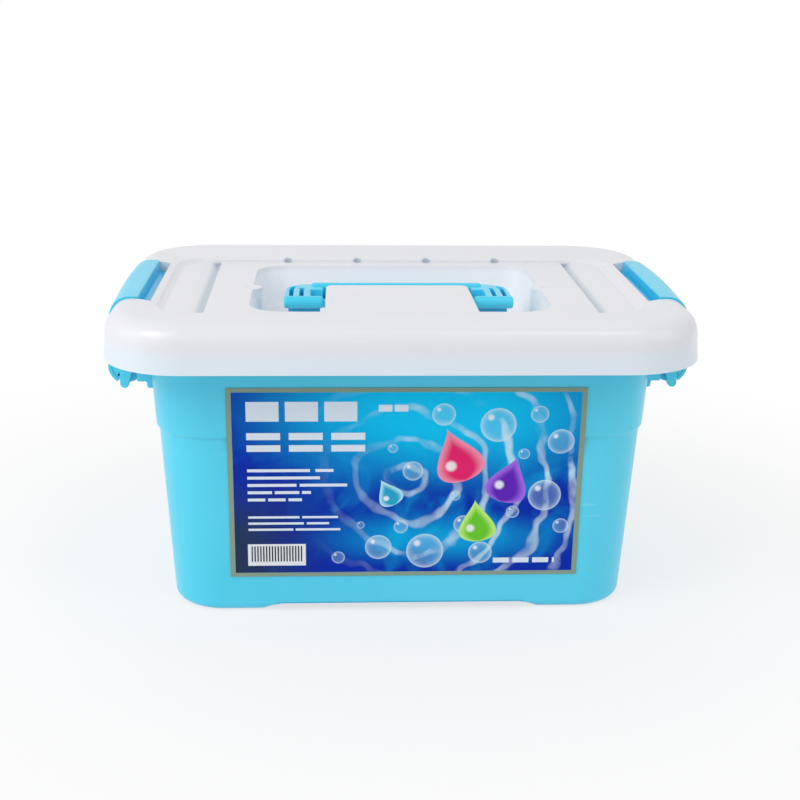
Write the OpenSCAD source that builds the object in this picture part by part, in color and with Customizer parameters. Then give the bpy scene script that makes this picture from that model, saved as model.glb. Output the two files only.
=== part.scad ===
// Moulded storage tub with a lift-off lid, a folding handle and two end latches.
// Width runs along X, depth along Y with the front at -Y, and the feet stand on Z = 0.

/* [Tub] */
// Overhang of the lid's ends beyond the wall, at the ground
wall_in_w = 25.9; // [22:0.1:32]
// Overhang of the lid's front and back beyond the wall, at the ground
wall_in_d = 27.5; // [23:0.1:35]
// Sideways growth of the wall for each millimetre of height
wall_draft = 0.055; // [0.02:0.005:0.06]
// Plan radius of the wall's corners at the rim
tub_corner = 25; // [22:0.5:30]
// Loss of corner radius from the rim to the foot of the wall
corner_loss = 1; // [0:0.5:4]
// Rounding between the wall and the base
base_round = 4; // [3:0.5:9]
// Wall thickness of the tub
tub_wall = 2; // [1.6:0.1:3]
// Drop from the lid's crest to the moulded step round the wall
step_drop = 55; // [43:1:78]
// How far the wall stands out above the step
step_out = 1.2; // [0.6:0.1:2]
// Drop from the lid's crest to the rim's top
rim_drop = 13; // [12.5:0.1:14]
// Thickness of the rim's flange and lip
rim_t = 2.2; // [1.8:0.1:2.6]
// Depth of the lip below the rim's top
lip_h = 5.5; // [4:0.1:7]

/* [Base] */
// Height of the raised middle of the base
rise_h = 3.5; // [2:0.1:4]
// Half width of the raised middle at its ceiling
rise_half_w = 54; // [40:1:60]
// Sideways run of the ramps beside the raised middle
rise_ramp = 12; // [6:1:14]

/* [Lid] */
// Width of the lid
lid_w = 260; // [259:0.2:262]
// Depth of the lid
lid_d = 190; // [186:0.5:196]
// Height of the lid's crest above the ground
crest_z = 140; // [139:0.1:141]
// Height of the skirt, from its lower edge to the crest
skirt_h = 20; // [19:0.5:20.5]
// Plan radius of the lid's corners
lid_corner = 36; // [32:0.5:42]
// Radius of the roll from skirt to crest
roll_r = 12; // [10:0.1:12]
// Thickness of the lid's sheet
lid_t = 2; // [1.6:0.1:2.2]
// Depth of the deck below the crest
deck_drop = 4; // [3:0.1:4.5]
// Fall of the crest from the roll to the deck's edge
crest_fall = 1.5; // [0.5:0.1:2]
// Width of the rim at each end of the sunk deck
rim_end = 24.5; // [23.6:0.1:27]
// Width of the rim at the front and back of the sunk deck
rim_side = 35; // [32:0.5:37]
// Inward lean of the deck's end walls
deck_lean = 2; // [0:0.1:2.5]
// Plan radius of the deck's corners
deck_corner = 16; // [10:0.5:20]

/* [Deck] */
// Distance of each deck groove beyond the midpoint between the well and the deck's end
groove_shift = 0.8; // [-6:0.1:8]
// Width of a deck groove
groove_w = 6; // [3:0.5:7]
// Depth of a deck groove
groove_h = 1.2; // [0.6:0.1:1.4]
// Number of ribs under the crest along each long side
rib_n = 5; // [2:1:7]
// Spacing of the ribs
rib_pitch = 36; // [20:1:36]
// Number of dimples along each long side
dimple_n = 4; // [0:1:6]
// Spacing of the dimples
dimple_pitch = 35.6; // [24:0.2:36]
// Radius of a dimple
dimple_r = 2.2; // [1:0.1:2.4]

/* [Well] */
// Half width of the handle well at the deck
well_half_w = 68; // [66:0.5:74]
// Half depth of the handle well at the deck
well_half_d = 50.5; // [48:0.5:53]
// Depth of the well below the deck
well_h = 20; // [18:0.5:22]
// Inward lean of the well's walls over its depth
well_lean = 4; // [1:0.5:6]
// Plan radius of the well's corners
well_corner = 15; // [10:0.5:18]
// Half width of the plateau between the handle's arms
plateau_half_w = 33; // [26:0.5:36]
// Depth position of the plateau's rear edge
plateau_y = 4; // [2:0.2:6]
// Plan radius of the plateau's rear corners
plateau_corner = 4; // [2:0.5:6]
// Radius of the half-round post on each end wall of the well
post_r = 5; // [3:0.5:6]

/* [Handle] */
// Height of the handle's plate
handle_h = 7; // [6:0.1:8]
// Width of each arm
arm_w = 17.4; // [15:0.2:19]
// Front to back size of the grip bar
grip_d = 5; // [4:0.1:7]
// Height of the grip bar
grip_h = 11; // [8:0.5:12]
// Dip of the plate's top behind the round front of the arms
arm_dip = 0.8; // [0.2:0.1:1.2]
// Distance from the pivot to the plateau's rear edge
arm_l = 22.5; // [19:0.5:26]
// Plan radius of the handle's rear corners
handle_corner = 10; // [7:0.5:12]
// Sideways gap between an arm and the plateau
arm_gap = 1.2; // [0.6:0.1:1.5]
// Diameter of the handle's pins
pin_d = 4; // [3:0.1:4.4]
// Depth of the slots and pockets in the arms
slot_h = 4.5; // [2:0.1:5]
// Width of a slot
slot_w = 1.8; // [1:0.1:2.4]
// Distance from an arm's outer side to its first slot
slot_edge = 1.4; // [1.2:0.1:2]
// Spacing of the slots
slot_pitch = 4.8; // [3:0.1:5]
// Width of a pocket
pocket_w = 6.2; // [2:0.1:6.6]
// Length of a pocket
pocket_l = 16; // [8:0.5:18]

/* [Latches] */
// Length of each end notch in the lid
notch_l = 84; // [60:1:90]
// Width of each end notch, in from the lid's end
notch_w = 18.5; // [18.2:0.1:19.4]
// Sheet thickness of the latch
latch_t = 2; // [1.6:0.1:2.2]
// How far the latch stands proud of the lid
latch_proud = 0.6; // [0.4:0.1:0.8]
// Distance of the hinge line in from the lid's end
hinge_in = 7; // [6.8:0.1:7.4]
// Drop from the lid's crest to the hinge line
hinge_drop = 31.5; // [31:0.1:32]
// Diameter of the hinge pins
hinge_d = 2.4; // [2:0.1:2.6]
// Length of each ear along the hinge line
ear_l = 4; // [3:0.1:6]

/* [Label] */
// Distance from the label's end to the wall's side, at the ground
label_in = 26.2; // [24:0.1:44]
// Height of the label's lower edge above the base's rounding
label_foot = 13.4; // [1:0.1:20]
// Drop from the lid's crest to the label's upper edge
label_drop = 32; // [28:0.5:48]
// Sideways place of the label's middle
label_x = 1.4; // [-4:0.1:4]
// Thickness of the label
label_t = 0.3; // [0.2:0.05:0.5]

/* [Fits] */
// Gap where the lid sits on the tub and the latch on the lid
seat_gap = 0.3; // [0.2:0.05:0.35]
// Sideways gap between the lid and the tub's rim
rim_gap = 0.8; // [0.6:0.1:1]
// Radial running clearance of the pins
pin_gap = 0.06; // [0.03:0.01:0.1]
// Gap between a latch and the faces at its ends
latch_gap = 0.6; // [0.4:0.1:1]
// Gap behind the label
glue_gap = 0.05; // [0.05:0.01:0.1]

/* [Hidden] */
$fn = 64;
over = 1;
corner_steps = 7;
roll_steps = 6;
tub_colour = [0.36, 0.80, 0.90];
lid_colour = [0.92, 0.92, 0.95];
label_colour = [0.10, 0.27, 0.66];

// Heights that follow the lid's crest
step_z = crest_z - step_drop;
rim_z = crest_z - rim_drop;
hinge_z = crest_z - hinge_drop;
label_z1 = crest_z - label_drop;

// Lid heights and half sizes
lid_half_w = lid_w / 2;
lid_half_d = lid_d / 2;
deck_half_w = lid_half_w - rim_end;
deck_half_d = lid_half_d - rim_side;
skirt_z = crest_z - skirt_h;
skirt_lean = 0.8;
deck_z = crest_z - deck_drop;
edge_r = 1;
edge_w = deck_half_w + deck_lean;

// Wall of the tub, where its draft line meets the ground
wall_half_w = lid_half_w - wall_in_w;
wall_half_d = lid_half_d - wall_in_d;

// Width of the label and height of its lower edge
label_w = 2 * (wall_half_w - label_in);
label_z0 = base_round + label_foot;

// Deck grooves, and the mark on top of each post
groove_x = (well_half_w + deck_half_w) / 2 + groove_shift;
mark_in = 0.7;
mark_size = [3.6, 0.9, 1.2];

// Rim of the tub, inside the skirt
notch_skin = 3;
skin_x = lid_half_w - notch_skin;
lip_x = skin_x - lid_t - rim_gap;
lip_inset = lid_half_w - lip_x;
lip_y = lid_half_d - lip_inset;
lip_corner = lid_corner - lip_inset;
flange_z = rim_z - rim_t;
lip_z = rim_z - lip_h;

// Notch, ledge and catch bar at each end of the lid
notch_x = lid_half_w - notch_w;
ledge_z = rim_z + seat_gap + lid_t;
bar_rise = 3;
bar_w = 3.4;
bar_z = ledge_z + bar_rise;
bar_x = notch_x + bar_w;
ledge_chamfer = 1.5;

// Latch outline, placed about its hinge
hinge_x = lid_half_w - hinge_in;
latch_x = lid_half_w + latch_proud;
latch_top = crest_z + latch_proud;
latch_roll = roll_r + latch_proud;
roll_x = latch_x - latch_roll;
roll_z = latch_top - latch_roll;
curl_r = latch_x - hinge_x;
curl_end = -57;
lip_r = latch_t + 0.2;
lip_flat = 0.4;
lip_turn = 150;
latch_l = notch_l - 2 * latch_gap;
barrel_r = 2.5;

// Ears that carry the hinge pins
ear_y = latch_l / 2 + seat_gap;
ear_half = 3;
ear_drop = 9;
ear_arch = 3;
ear_foot_z = hinge_z - ear_drop;
ear_arch_z = ear_foot_z + ear_arch;
ear_slot = 1.6;
ear_top_z = skirt_z - 2 * seat_gap;
foot_w = 4;
gusset_w = 4.4;

// Handle, lying in the well with its top just under the deck
handle_sink = 0.2;
handle_top = deck_z - handle_sink;
end_r = handle_h / 2;
pivot_y = plateau_y - arm_l;
pivot_z = handle_top - end_r;
arm_x0 = plateau_half_w + arm_gap;
arm_x1 = arm_x0 + arm_w;
grip_y0 = plateau_y + arm_gap;
grip_y1 = grip_y0 + grip_d;
keel_h = 3.5;
keel_inset = 2.5;
pin_reach = 3.2;
slot_y = pivot_y + end_r / 2;
slot_turn = 35;
well_floor = deck_z - well_h;
well_round = 4;

// Half size of the tub's outer wall at a height, without and with the step
function draft_at(z) = wall_draft * z;
function wall_w(z) = wall_half_w + draft_at(z) + (z >= step_z ? step_out : 0);
function wall_d(z) = wall_half_d + draft_at(z) + (z >= step_z ? step_out : 0);
function wall_r(z) = tub_corner - corner_loss * (1 - z / rim_z);

// Unit vector at an angle
function unit(a) = [cos(a), sin(a)];

// A ring is [half width, half depth, corner radius, height]
function inset(ring, d) = [ring[0] - d, ring[1] - d, max(ring[2] - d, edge_r), ring[3]];

// Points of one rounded rectangle, anticlockwise from above
function ring_points(ring) = [
    for (q = [0:3])
        for (i = [0:corner_steps])
            let (
                a = 90 * q + 90 * i / corner_steps,
                sx = (q == 0 || q == 3) ? 1 : -1,
                sy = q < 2 ? 1 : -1,
                r = ring[2]
            )
            [sx * (ring[0] - r) + r * cos(a), sy * (ring[1] - r) + r * sin(a), ring[3]]
];

// Solid skinned over a list of rings, closed by a flat face at each end
module loft(rings) {
    n = 4 * (corner_steps + 1);
    last = len(rings) - 1;
    skin = [
        for (k = [0:last - 1])
            for (i = [0:n - 1])
                let (
                    j = (i + 1) % n,
                    a = k * n + i,
                    b = k * n + j,
                    c = (k + 1) * n + j,
                    d = (k + 1) * n + i
                )
                each [[a, d, c], [a, c, b]]
    ];
    floor_face = [for (i = [0:n - 1]) i];
    top_face = [for (i = [n - 1:-1:0]) last * n + i];
    polyhedron(points = [for (ring = rings) each ring_points(ring)], faces = concat([floor_face], skin, [top_face]));
}

// Closed band of even thickness inside a curve given as [point, outward angle] samples
function band(samples, t) = concat(
    [for (s = samples) s[0]],
    [for (i = [len(samples) - 1:-1:0]) samples[i][0] - t * unit(samples[i][1])]
);
function arc_samples(centre, r, a0, a1, steps) = [
    for (i = [0:steps])
        let (a = a0 + (a1 - a0) * i / steps)
        [centre + r * unit(a), a]
];

// Extrudes an outline drawn in X and Z along Y, from y0 to y1
module along_y(y0, y1) {
    translate([0, y1, 0])
        rotate([90, 0, 0])
            linear_extrude(y1 - y0)
                children();
}

// Extrudes an outline drawn in Y and Z along X, from x0 to x1
module along_x(x0, x1) {
    translate([x0, 0, 0])
        rotate([90, 0, 90])
            linear_extrude(x1 - x0)
                children();
}

module both_ends() {
    children();
    mirror([1, 0, 0])
        children();
}

module both_sides() {
    children();
    mirror([0, 1, 0])
        children();
}

// Box between two corners
module span(low, high) {
    translate(low)
        cube(high - low);
}

// Rounded rectangle outline about the origin
module round_rect(half_w, half_d, r) {
    square([2 * (half_w - r), 2 * half_d], center = true);
    square([2 * half_w, 2 * (half_d - r)], center = true);
    for (sx = [-1, 1])
        for (sy = [-1, 1])
            translate([sx * (half_w - r), sy * (half_d - r)])
                circle(r);
}

// Rings of the tub's skin at a distance inside its outer face
function tub_base_rings(d) = [
    for (i = [0:roll_steps])
        let (
            r = base_round - d,
            a = 90 * i / roll_steps,
            wall = [wall_w(base_round), wall_d(base_round), wall_r(base_round), d + r * (1 - cos(a))]
        )
        inset(wall, d + r * (1 - sin(a)))
];
function tub_wall_rings(d, top) = [
    inset([wall_w(step_z - step_out), wall_d(step_z - step_out), wall_r(step_z), step_z - step_out], d),
    inset([wall_w(step_z), wall_d(step_z), wall_r(step_z), step_z], d),
    inset([wall_w(top), wall_d(top), wall_r(top), top], d)
];
function rim_rings() = [
    [lip_x - rim_t, lip_y - rim_t, lip_corner - rim_t, flange_z],
    [lip_x - rim_t, lip_y - rim_t, lip_corner - rim_t, lip_z],
    [lip_x, lip_y, lip_corner, lip_z],
    [lip_x, lip_y, lip_corner, rim_z - edge_r],
    [lip_x - edge_r, lip_y - edge_r, lip_corner - edge_r, rim_z]
];

// Raised middle of the base, as an outline in X and Z
module rise_outline(lift) {
    polygon([
        [-rise_half_w - rise_ramp, lift],
        [-rise_half_w, lift + rise_h],
        [rise_half_w, lift + rise_h],
        [rise_half_w + rise_ramp, lift],
        [rise_half_w + rise_ramp, -over],
        [-rise_half_w - rise_ramp, -over]
    ]);
}

// Front or rear ear of the right-hand latch, as an outline in X and Z
module ear_outline() {
    wall_x = wall_w(ear_foot_z) - tub_wall / 2;
    slot_x1 = hinge_x - ear_half;
    slot_x0 = slot_x1 - ear_slot;
    difference() {
        union() {
            polygon([
                [wall_x, flange_z + rim_t / 2],
                [lip_x, flange_z + rim_t / 2],
                [lip_x, ear_top_z],
                [hinge_x + ear_half, ear_top_z],
                [hinge_x + ear_half, ear_foot_z + foot_w / 2],
                [hinge_x + ear_half - foot_w, ear_foot_z + foot_w / 2],
                [slot_x1, hinge_z],
                [slot_x1, ear_top_z],
                [slot_x0, ear_top_z],
                [slot_x0, ear_arch_z],
                [wall_x, ear_arch_z]
            ]);
            translate([hinge_x + ear_half - foot_w / 2, ear_foot_z + foot_w / 2])
                circle(d = foot_w);
            polygon([
                [wall_x, ear_arch_z + over],
                [wall_x + gusset_w, ear_arch_z + over],
                [wall_x + gusset_w, ear_foot_z + over],
                [wall_x + gusset_w - over, ear_foot_z],
                [wall_x, ear_foot_z]
            ]);
        }
        translate([hinge_x, hinge_z])
            circle(d = hinge_d + 2 * pin_gap);
    }
}

module tub() {
    color(tub_colour) {
        difference() {
            loft(concat(tub_base_rings(0), tub_wall_rings(0, flange_z), rim_rings()));
            difference() {
                loft(concat(tub_base_rings(tub_wall), tub_wall_rings(tub_wall, rim_z + over)));
                along_y(-lid_half_d, lid_half_d)
                    rise_outline(tub_wall);
            }
            along_y(-lid_half_d, lid_half_d)
                rise_outline(0);
        }
        both_ends()
            both_sides()
                along_y(ear_y, ear_y + ear_l)
                    ear_outline();
    }
}

// Front face line of the wall at a distance outside it
function wall_line(d) = [
    [-wall_d(label_z0) - d, label_z0],
    [-wall_d(step_z - step_out) - d, step_z - step_out - d],
    [-wall_d(step_z) - d, step_z - d],
    [-wall_d(label_z1) - d, label_z1]
];

module label() {
    front = wall_line(glue_gap + label_t);
    back = wall_line(glue_gap);
    color(label_colour)
        along_x(label_x - label_w / 2, label_x + label_w / 2)
            polygon(concat(back, [for (i = [len(front) - 1:-1:0]) front[i]]));
}

// Rings of the lid's upper skin, from the skirt's edge over the roll and down to the deck
function lid_rings(d, low) = concat(
    [inset([lid_half_w, lid_half_d, lid_corner, low], d)],
    [
        for (i = [0:roll_steps])
            let (a = 90 * i / roll_steps, r = roll_r - d)
            inset(
                [lid_half_w, lid_half_d, lid_corner, crest_z - roll_r + r * sin(a)],
                d + skirt_lean + r * (1 - cos(a))
            )
    ],
    [
        inset([edge_w, deck_half_d, deck_corner, crest_z - crest_fall - d], -edge_r - d),
        inset([edge_w, deck_half_d, deck_corner, crest_z - crest_fall - edge_r - d], -d),
        inset([deck_half_w, deck_half_d, deck_corner, deck_z - d], -d)
    ]
);

// Rings of the handle well at a distance outside its inner face
function well_rings(d, top) = concat(
    [
        for (i = [0:3])
            let (a = 30 * i, r = well_round + d)
            inset(
                [well_half_w, well_half_d, well_corner, well_floor - d + r * (1 - cos(a))],
                well_lean - d + r * (1 - sin(a))
            )
    ],
    [inset([well_half_w, well_half_d, well_corner, top], -d)]
);

// Plateau between the handle's arms, at a distance inside its faces
module plateau(d, low, high) {
    front = -well_half_d - 2 * lid_t;
    half = plateau_half_w - d;
    back = plateau_y - d;
    r = plateau_corner - d / 2;
    translate([0, 0, low])
        linear_extrude(high - low) {
            translate([-half, front])
                square([2 * half, back - r - front]);
            translate([-half + r, front])
                square([2 * (half - r), back - front]);
            for (s = [-1, 1])
                translate([s * (half - r), back - r])
                    circle(r);
        }
}

// Half-round post standing on an end wall of the well
module well_post() {
    translate([well_half_w + 1, 0, well_floor - lid_t / 2])
        cylinder(h = deck_z - well_floor + lid_t / 2, r = post_r);
}

// Lid's end at the right: side skin, ledge and end walls round the latch's notch
module notch_shell() {
    wall_y = notch_l / 2 + lid_t;
    intersection() {
        loft(lid_rings(0, skirt_z));
        difference() {
            span([notch_x - lid_t, -wall_y, skirt_z - over], [lid_half_w + over, wall_y, crest_z + over]);
            span([0, -wall_y - over, skirt_z - 2 * over], [skin_x - lid_t, wall_y + over, ledge_z - lid_t]);
        }
    }
}

// Space that a latch lies in, with the catch bar left standing on the ledge
module notch_cut() {
    along_y(-notch_l / 2, notch_l / 2)
        polygon([
            [notch_x, crest_z + over],
            [notch_x, bar_z],
            [bar_x, bar_z],
            [bar_x + bar_rise, ledge_z],
            [skin_x - ledge_chamfer, ledge_z],
            [skin_x, ledge_z - ledge_chamfer],
            [skin_x, skirt_z - over],
            [lid_half_w + 2 * over, skirt_z - over],
            [lid_half_w + 2 * over, crest_z + over]
        ]);
}

// Ring that centres the lid in the tub's mouth
module centring_ring() {
    mouth = inset([wall_w(lip_z), wall_d(lip_z), wall_r(lip_z), lip_z], tub_wall + rim_gap);
    inner = inset(mouth, lid_t);
    translate([0, 0, lip_z])
        linear_extrude(crest_z - lip_z)
            difference() {
                round_rect(mouth[0], mouth[1], mouth[2]);
                round_rect(inner[0], inner[1], inner[2]);
            }
}

// Row of ribs under the crest that rest on the tub's rim
module rim_ribs() {
    ring_y = wall_d(lip_z) - tub_wall - rim_gap - lid_t / 2;
    for (i = [0:1:rib_n - 1]) {
        x = (i - (rib_n - 1) / 2) * rib_pitch;
        span([x - lid_t / 2, ring_y, rim_z + seat_gap], [x + lid_t / 2, lid_half_d, crest_z]);
    }
}

module lid() {
    color(lid_colour)
        difference() {
            union() {
                difference() {
                    loft(lid_rings(0, skirt_z));
                    loft(lid_rings(lid_t, skirt_z - over));
                }
                difference() {
                    loft(well_rings(lid_t, deck_z - lid_t / 2));
                    plateau(lid_t, well_floor - 2 * lid_t, deck_z - lid_t);
                }
                both_ends()
                    notch_shell();
                intersection() {
                    loft(lid_rings(lid_t / 2, skirt_z));
                    union() {
                        centring_ring();
                        both_sides()
                            rim_ribs();
                    }
                }
            }
            difference() {
                loft(well_rings(0, deck_z + over));
                plateau(0, well_floor - over, deck_z);
                both_ends()
                    well_post();
            }
            along_x(-plateau_half_w - over, plateau_half_w + over)
                translate([pivot_y, pivot_z])
                    circle(d = pin_d + 2 * pin_gap);
            both_ends() {
                notch_cut();
                along_y(-deck_half_d, deck_half_d)
                    polygon([
                        [groove_x, deck_z + over],
                        [groove_x, deck_z - groove_h],
                        [groove_x + groove_w / 2, deck_z - groove_h],
                        [groove_x + groove_w, deck_z],
                        [groove_x + groove_w, deck_z + over]
                    ]);
                translate([well_half_w + mark_in + mark_size[0] / 2, 0, deck_z])
                    cube(mark_size, center = true);
            }
            both_sides()
                for (i = [0:1:dimple_n - 1])
                    translate([(i - (dimple_n - 1) / 2) * dimple_pitch, deck_half_d, deck_z - lid_t / 3])
                        cylinder(h = deck_drop - crest_fall, r = dimple_r);
        }
}

// Plan of the handle's U, at a distance inside its outer faces
module handle_plan(d) {
    half = arm_x1 - d;
    back = grip_y1 - d;
    front = pivot_y - end_r + d;
    r = handle_corner - d;
    inner = arm_x0 + d;
    difference() {
        union() {
            translate([-half, front])
                square([2 * half, back - r - front]);
            translate([-half + r, front])
                square([2 * (half - r), back - front]);
            for (s = [-1, 1])
                translate([s * (half - r), back - r])
                    circle(r);
        }
        translate([-inner, front - over])
            square([2 * inner, grip_y0 + d - front + over]);
    }
}

// Slot along an arm that turns inwards round the rear corner
module arm_slot(x, w) {
    centre = [arm_x1 - handle_corner, grip_y1 - handle_corner];
    start = [[x, slot_y], 0];
    polygon(band(concat([start], arc_samples(centre, x - centre[0], 0, slot_turn, roll_steps)), w));
}

module handle() {
    color(tub_colour)
        difference() {
            union() {
                intersection() {
                    translate([0, 0, handle_top - handle_h])
                        linear_extrude(handle_h)
                            handle_plan(0);
                    along_x(-arm_x1, arm_x1) {
                        translate([pivot_y, pivot_z])
                            circle(r = end_r);
                        translate([pivot_y, pivot_z - end_r])
                            square([grip_y1 - pivot_y, handle_h - arm_dip]);
                    }
                }
                translate([0, 0, handle_top - handle_h - keel_h])
                    linear_extrude(keel_h + over)
                        handle_plan(keel_inset - over);
                span([-arm_x1 + handle_corner, grip_y0, handle_top - grip_h],
                    [arm_x1 - handle_corner, grip_y1, handle_top - handle_h + over]);
                both_ends()
                    along_x(arm_x0 - pin_reach, arm_x0 + over)
                        translate([pivot_y, pivot_z])
                            circle(d = pin_d);
            }
            both_ends()
                translate([0, 0, handle_top - slot_h])
                    linear_extrude(slot_h + over) {
                        arm_slot(arm_x1 - slot_edge, slot_w);
                        arm_slot(arm_x1 - slot_edge - slot_pitch, slot_w);
                        translate([arm_x0 - over, slot_y])
                            square([pocket_w + over, pocket_l]);
                    }
        }
}

// Section of the right-hand latch in X and Z
module latch_outline() {
    hinge = [hinge_x, hinge_z];
    lip_centre = [roll_x - lip_flat, latch_top - lip_r];
    lip_start = lip_centre + lip_r * unit(lip_turn);
    lip_drop = lip_start[1] - bar_z - seat_gap - latch_t * sin(lip_turn);
    lip_end = lip_start - lip_drop / sin(lip_turn + 90) * unit(lip_turn + 90);
    polygon(band(concat(
        arc_samples(hinge, curl_r, curl_end, 0, roll_steps),
        arc_samples([roll_x, roll_z], latch_roll, 0, 90, 2 * roll_steps),
        arc_samples(lip_centre, lip_r, 90, lip_turn, roll_steps),
        [[lip_end, lip_turn]]
    ), latch_t));
    translate(hinge)
        rotate(curl_end)
            square([curl_r - latch_t / 2, latch_t]);
    translate(hinge)
        circle(r = barrel_r);
}

module latch_right() {
    color(tub_colour) {
        along_y(-latch_l / 2, latch_l / 2)
            latch_outline();
        along_y(-ear_y - ear_l, ear_y + ear_l)
            translate([hinge_x, hinge_z])
                circle(d = hinge_d);
    }
}

module latch_left() {
    mirror([1, 0, 0])
        latch_right();
}

tub();
label();
lid();
handle();
latch_left();
latch_right();
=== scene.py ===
import math

import bmesh
import bpy
import numpy as np
from bpy.props import (
    FloatProperty,
    FloatVectorProperty,
    IntProperty,
    PointerProperty,
)
from mathutils import Matrix, Vector
from mathutils.geometry import delaunay_2d_cdt


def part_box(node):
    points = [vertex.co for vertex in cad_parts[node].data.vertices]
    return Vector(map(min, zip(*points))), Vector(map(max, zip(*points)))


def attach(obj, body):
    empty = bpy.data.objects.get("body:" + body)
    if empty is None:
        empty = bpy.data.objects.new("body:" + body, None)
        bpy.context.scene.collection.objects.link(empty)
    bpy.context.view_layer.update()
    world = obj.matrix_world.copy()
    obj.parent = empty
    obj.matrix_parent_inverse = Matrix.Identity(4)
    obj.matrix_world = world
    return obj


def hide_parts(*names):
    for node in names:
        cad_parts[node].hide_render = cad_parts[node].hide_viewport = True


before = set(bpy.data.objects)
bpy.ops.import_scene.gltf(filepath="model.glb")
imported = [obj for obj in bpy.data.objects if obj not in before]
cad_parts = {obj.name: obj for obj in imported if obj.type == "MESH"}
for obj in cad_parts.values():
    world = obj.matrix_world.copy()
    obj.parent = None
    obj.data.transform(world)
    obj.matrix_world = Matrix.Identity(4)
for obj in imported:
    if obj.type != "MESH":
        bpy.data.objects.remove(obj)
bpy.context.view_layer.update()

bl_info = {
    "name": "Laundry pod tub",
    "version": (1, 0, 0),
    "blender": (4, 5, 0),
    "location": "View3D > Sidebar > Pod tub",
    "description": "Dresses the laundry pod tub: tub, label, lid, carrying handle, latches and studio",
    "category": "Object",
}

MM = 0.001
LABEL_LOW, LABEL_HIGH = (np.array(corner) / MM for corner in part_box("label"))
LID_HIGH = np.array(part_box("lid")[1]) / MM

# Sizes in millimetres that more than one function uses. The lid and all that goes with it are drawn
# with the crest at 138, then lifted to the crest of the lid part in model.glb.
CREST_Z = 138.0
LIFT = LID_HIGH[2] - CREST_Z
DECK_Z, SKIRT_Z, WELL_FLOOR_Z = 134.0, 117.2, 114.0
STEP_Z, RIM_Z = 83.0 + LIFT, 125.0 + LIFT
HALF_W, HALF_D = LID_HIGH[:2]
# The tub's wall: half width and half depth at the ground, lean outwards for each millimetre of height,
# how far it stands out above its step, and the radii of its corners and of its foot
WALL_W, WALL_D, LEAN, STEP_OUT = 104.1, 67.5, 0.055, 1.2
CORNER_R, FOOT_R = 25.0, 4.0
# The raised middle of the base: its height, and where its ramps start and end
RISE = 3.5
RISE_FROM, RISE_TO = 64.0, 54.5
# Height over which the label bridges the tub's step
BRIDGE = 10.0
# The handle's pivot in Y and Z, and the latches' hinge in X and Z
PIVOT = (-18.5, 130.3)
HINGE = (123.0, 106.5)
# Half the latches' length, and the inner and outer face of the ears that hold them
LATCH_HALF, EAR_IN, EAR_OUT = 41.4, 41.7, 45.7


# ---------------------------------------------------------------- settings

DISTANCE = {"unit": "LENGTH", "subtype": "DISTANCE"}
COLOUR = {"min": 0.0, "max": 1.0, "subtype": "COLOR"}
SHARE = {"min": 0.0, "max": 1.0, "subtype": "FACTOR"}
POWER = {"min": 0.0, "unit": "POWER"}


class TubSizes(bpy.types.PropertyGroup):
    lid_sheet: FloatProperty(
        name="Lid sheet",
        description="Thickness of the lid's moulded sheet",
        default=0.002, min=0.001, max=0.003, **DISTANCE,
    )
    tub_wall: FloatProperty(
        name="Tub wall",
        description="Thickness of the tub's wall",
        default=0.002, min=0.001, max=0.003, **DISTANCE,
    )
    edge: FloatProperty(
        name="Edge rounding",
        description="Radius of the small moulded edges",
        default=0.0006, min=0.0002, max=0.001, **DISTANCE,
    )
    corner_steps: IntProperty(
        name="Corner steps",
        description="Faces round each vertical corner of tub and lid",
        default=20, min=8, max=40,
    )


class TubFinish(bpy.types.PropertyGroup):
    tub: FloatVectorProperty(
        name="Tub plastic",
        description="Colour of the tub and its ears",
        default=(0.070, 0.70, 0.93), **COLOUR,
    )
    fitting: FloatVectorProperty(
        name="Fitting plastic",
        description="Colour of the handle and latches",
        default=(0.045, 0.67, 0.93), **COLOUR,
    )
    lid: FloatVectorProperty(
        name="Lid plastic",
        description="Colour of the white lid",
        default=(0.82, 0.825, 0.865), **COLOUR,
    )
    border: FloatVectorProperty(
        name="Label border",
        description="Colour of the strip round the label",
        default=(0.28, 0.365, 0.275), **COLOUR,
    )
    deep: FloatVectorProperty(
        name="Label deep blue",
        description="Dark end of the label's colour sweep",
        default=(0.0, 0.026, 0.42), **COLOUR,
    )
    glow: FloatVectorProperty(
        name="Label light blue",
        description="Light end of the label's colour sweep",
        default=(0.002, 0.62, 1.0), **COLOUR,
    )
    grain: FloatProperty(
        name="Grain",
        description="Depth of the fine moulded grain on the plastic",
        default=0.25, **SHARE,
    )
    wear: FloatProperty(
        name="Handling marks",
        description="How much the plastic is dulled by fine scratches",
        default=0.25, **SHARE,
    )


class TubStudio(bpy.types.PropertyGroup):
    key_power: FloatProperty(
        name="Main light",
        description="Power of the large light at the upper left",
        default=8.2, **POWER,
    )
    fill_power: FloatProperty(
        name="Fill light",
        description="Power of the light at the right, which the smaller lights follow",
        default=2.0, **POWER,
    )
    sky: FloatProperty(
        name="Room light",
        description="Strength of the even light from all round",
        default=0.56, **SHARE,
    )
    mirrored: FloatProperty(
        name="Room in reflections",
        description="Strength of the room as glossy plastic mirrors it",
        default=0.85, **SHARE,
    )


def settings():
    """The three groups of settings that the sidebar shows."""
    scene = bpy.context.scene
    return scene.tub_sizes, scene.tub_finish, scene.tub_studio


# ------------------------------------------------------------ shape maths


def arc(centre, radius, start, end, steps):
    """Points on a circle: centre plus radius times cosine and sine of evenly spaced angles in degrees."""
    a = np.radians(np.linspace(start, end, steps + 1))
    return np.stack([centre[0] + radius * np.cos(a), centre[1] + radius * np.sin(a)], -1)


def squared_arc(centre, reach, steps, power=2.7):
    """Quarter of a superellipse from its side to its top: cosine and sine to the power of two by the power."""
    a = np.radians(np.linspace(0, 90, steps + 1))
    share = np.stack([np.cos(a), np.sin(a)], -1).clip(0, 1) ** (2 / power)
    return np.asarray(centre) + share * np.asarray(reach)


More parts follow.
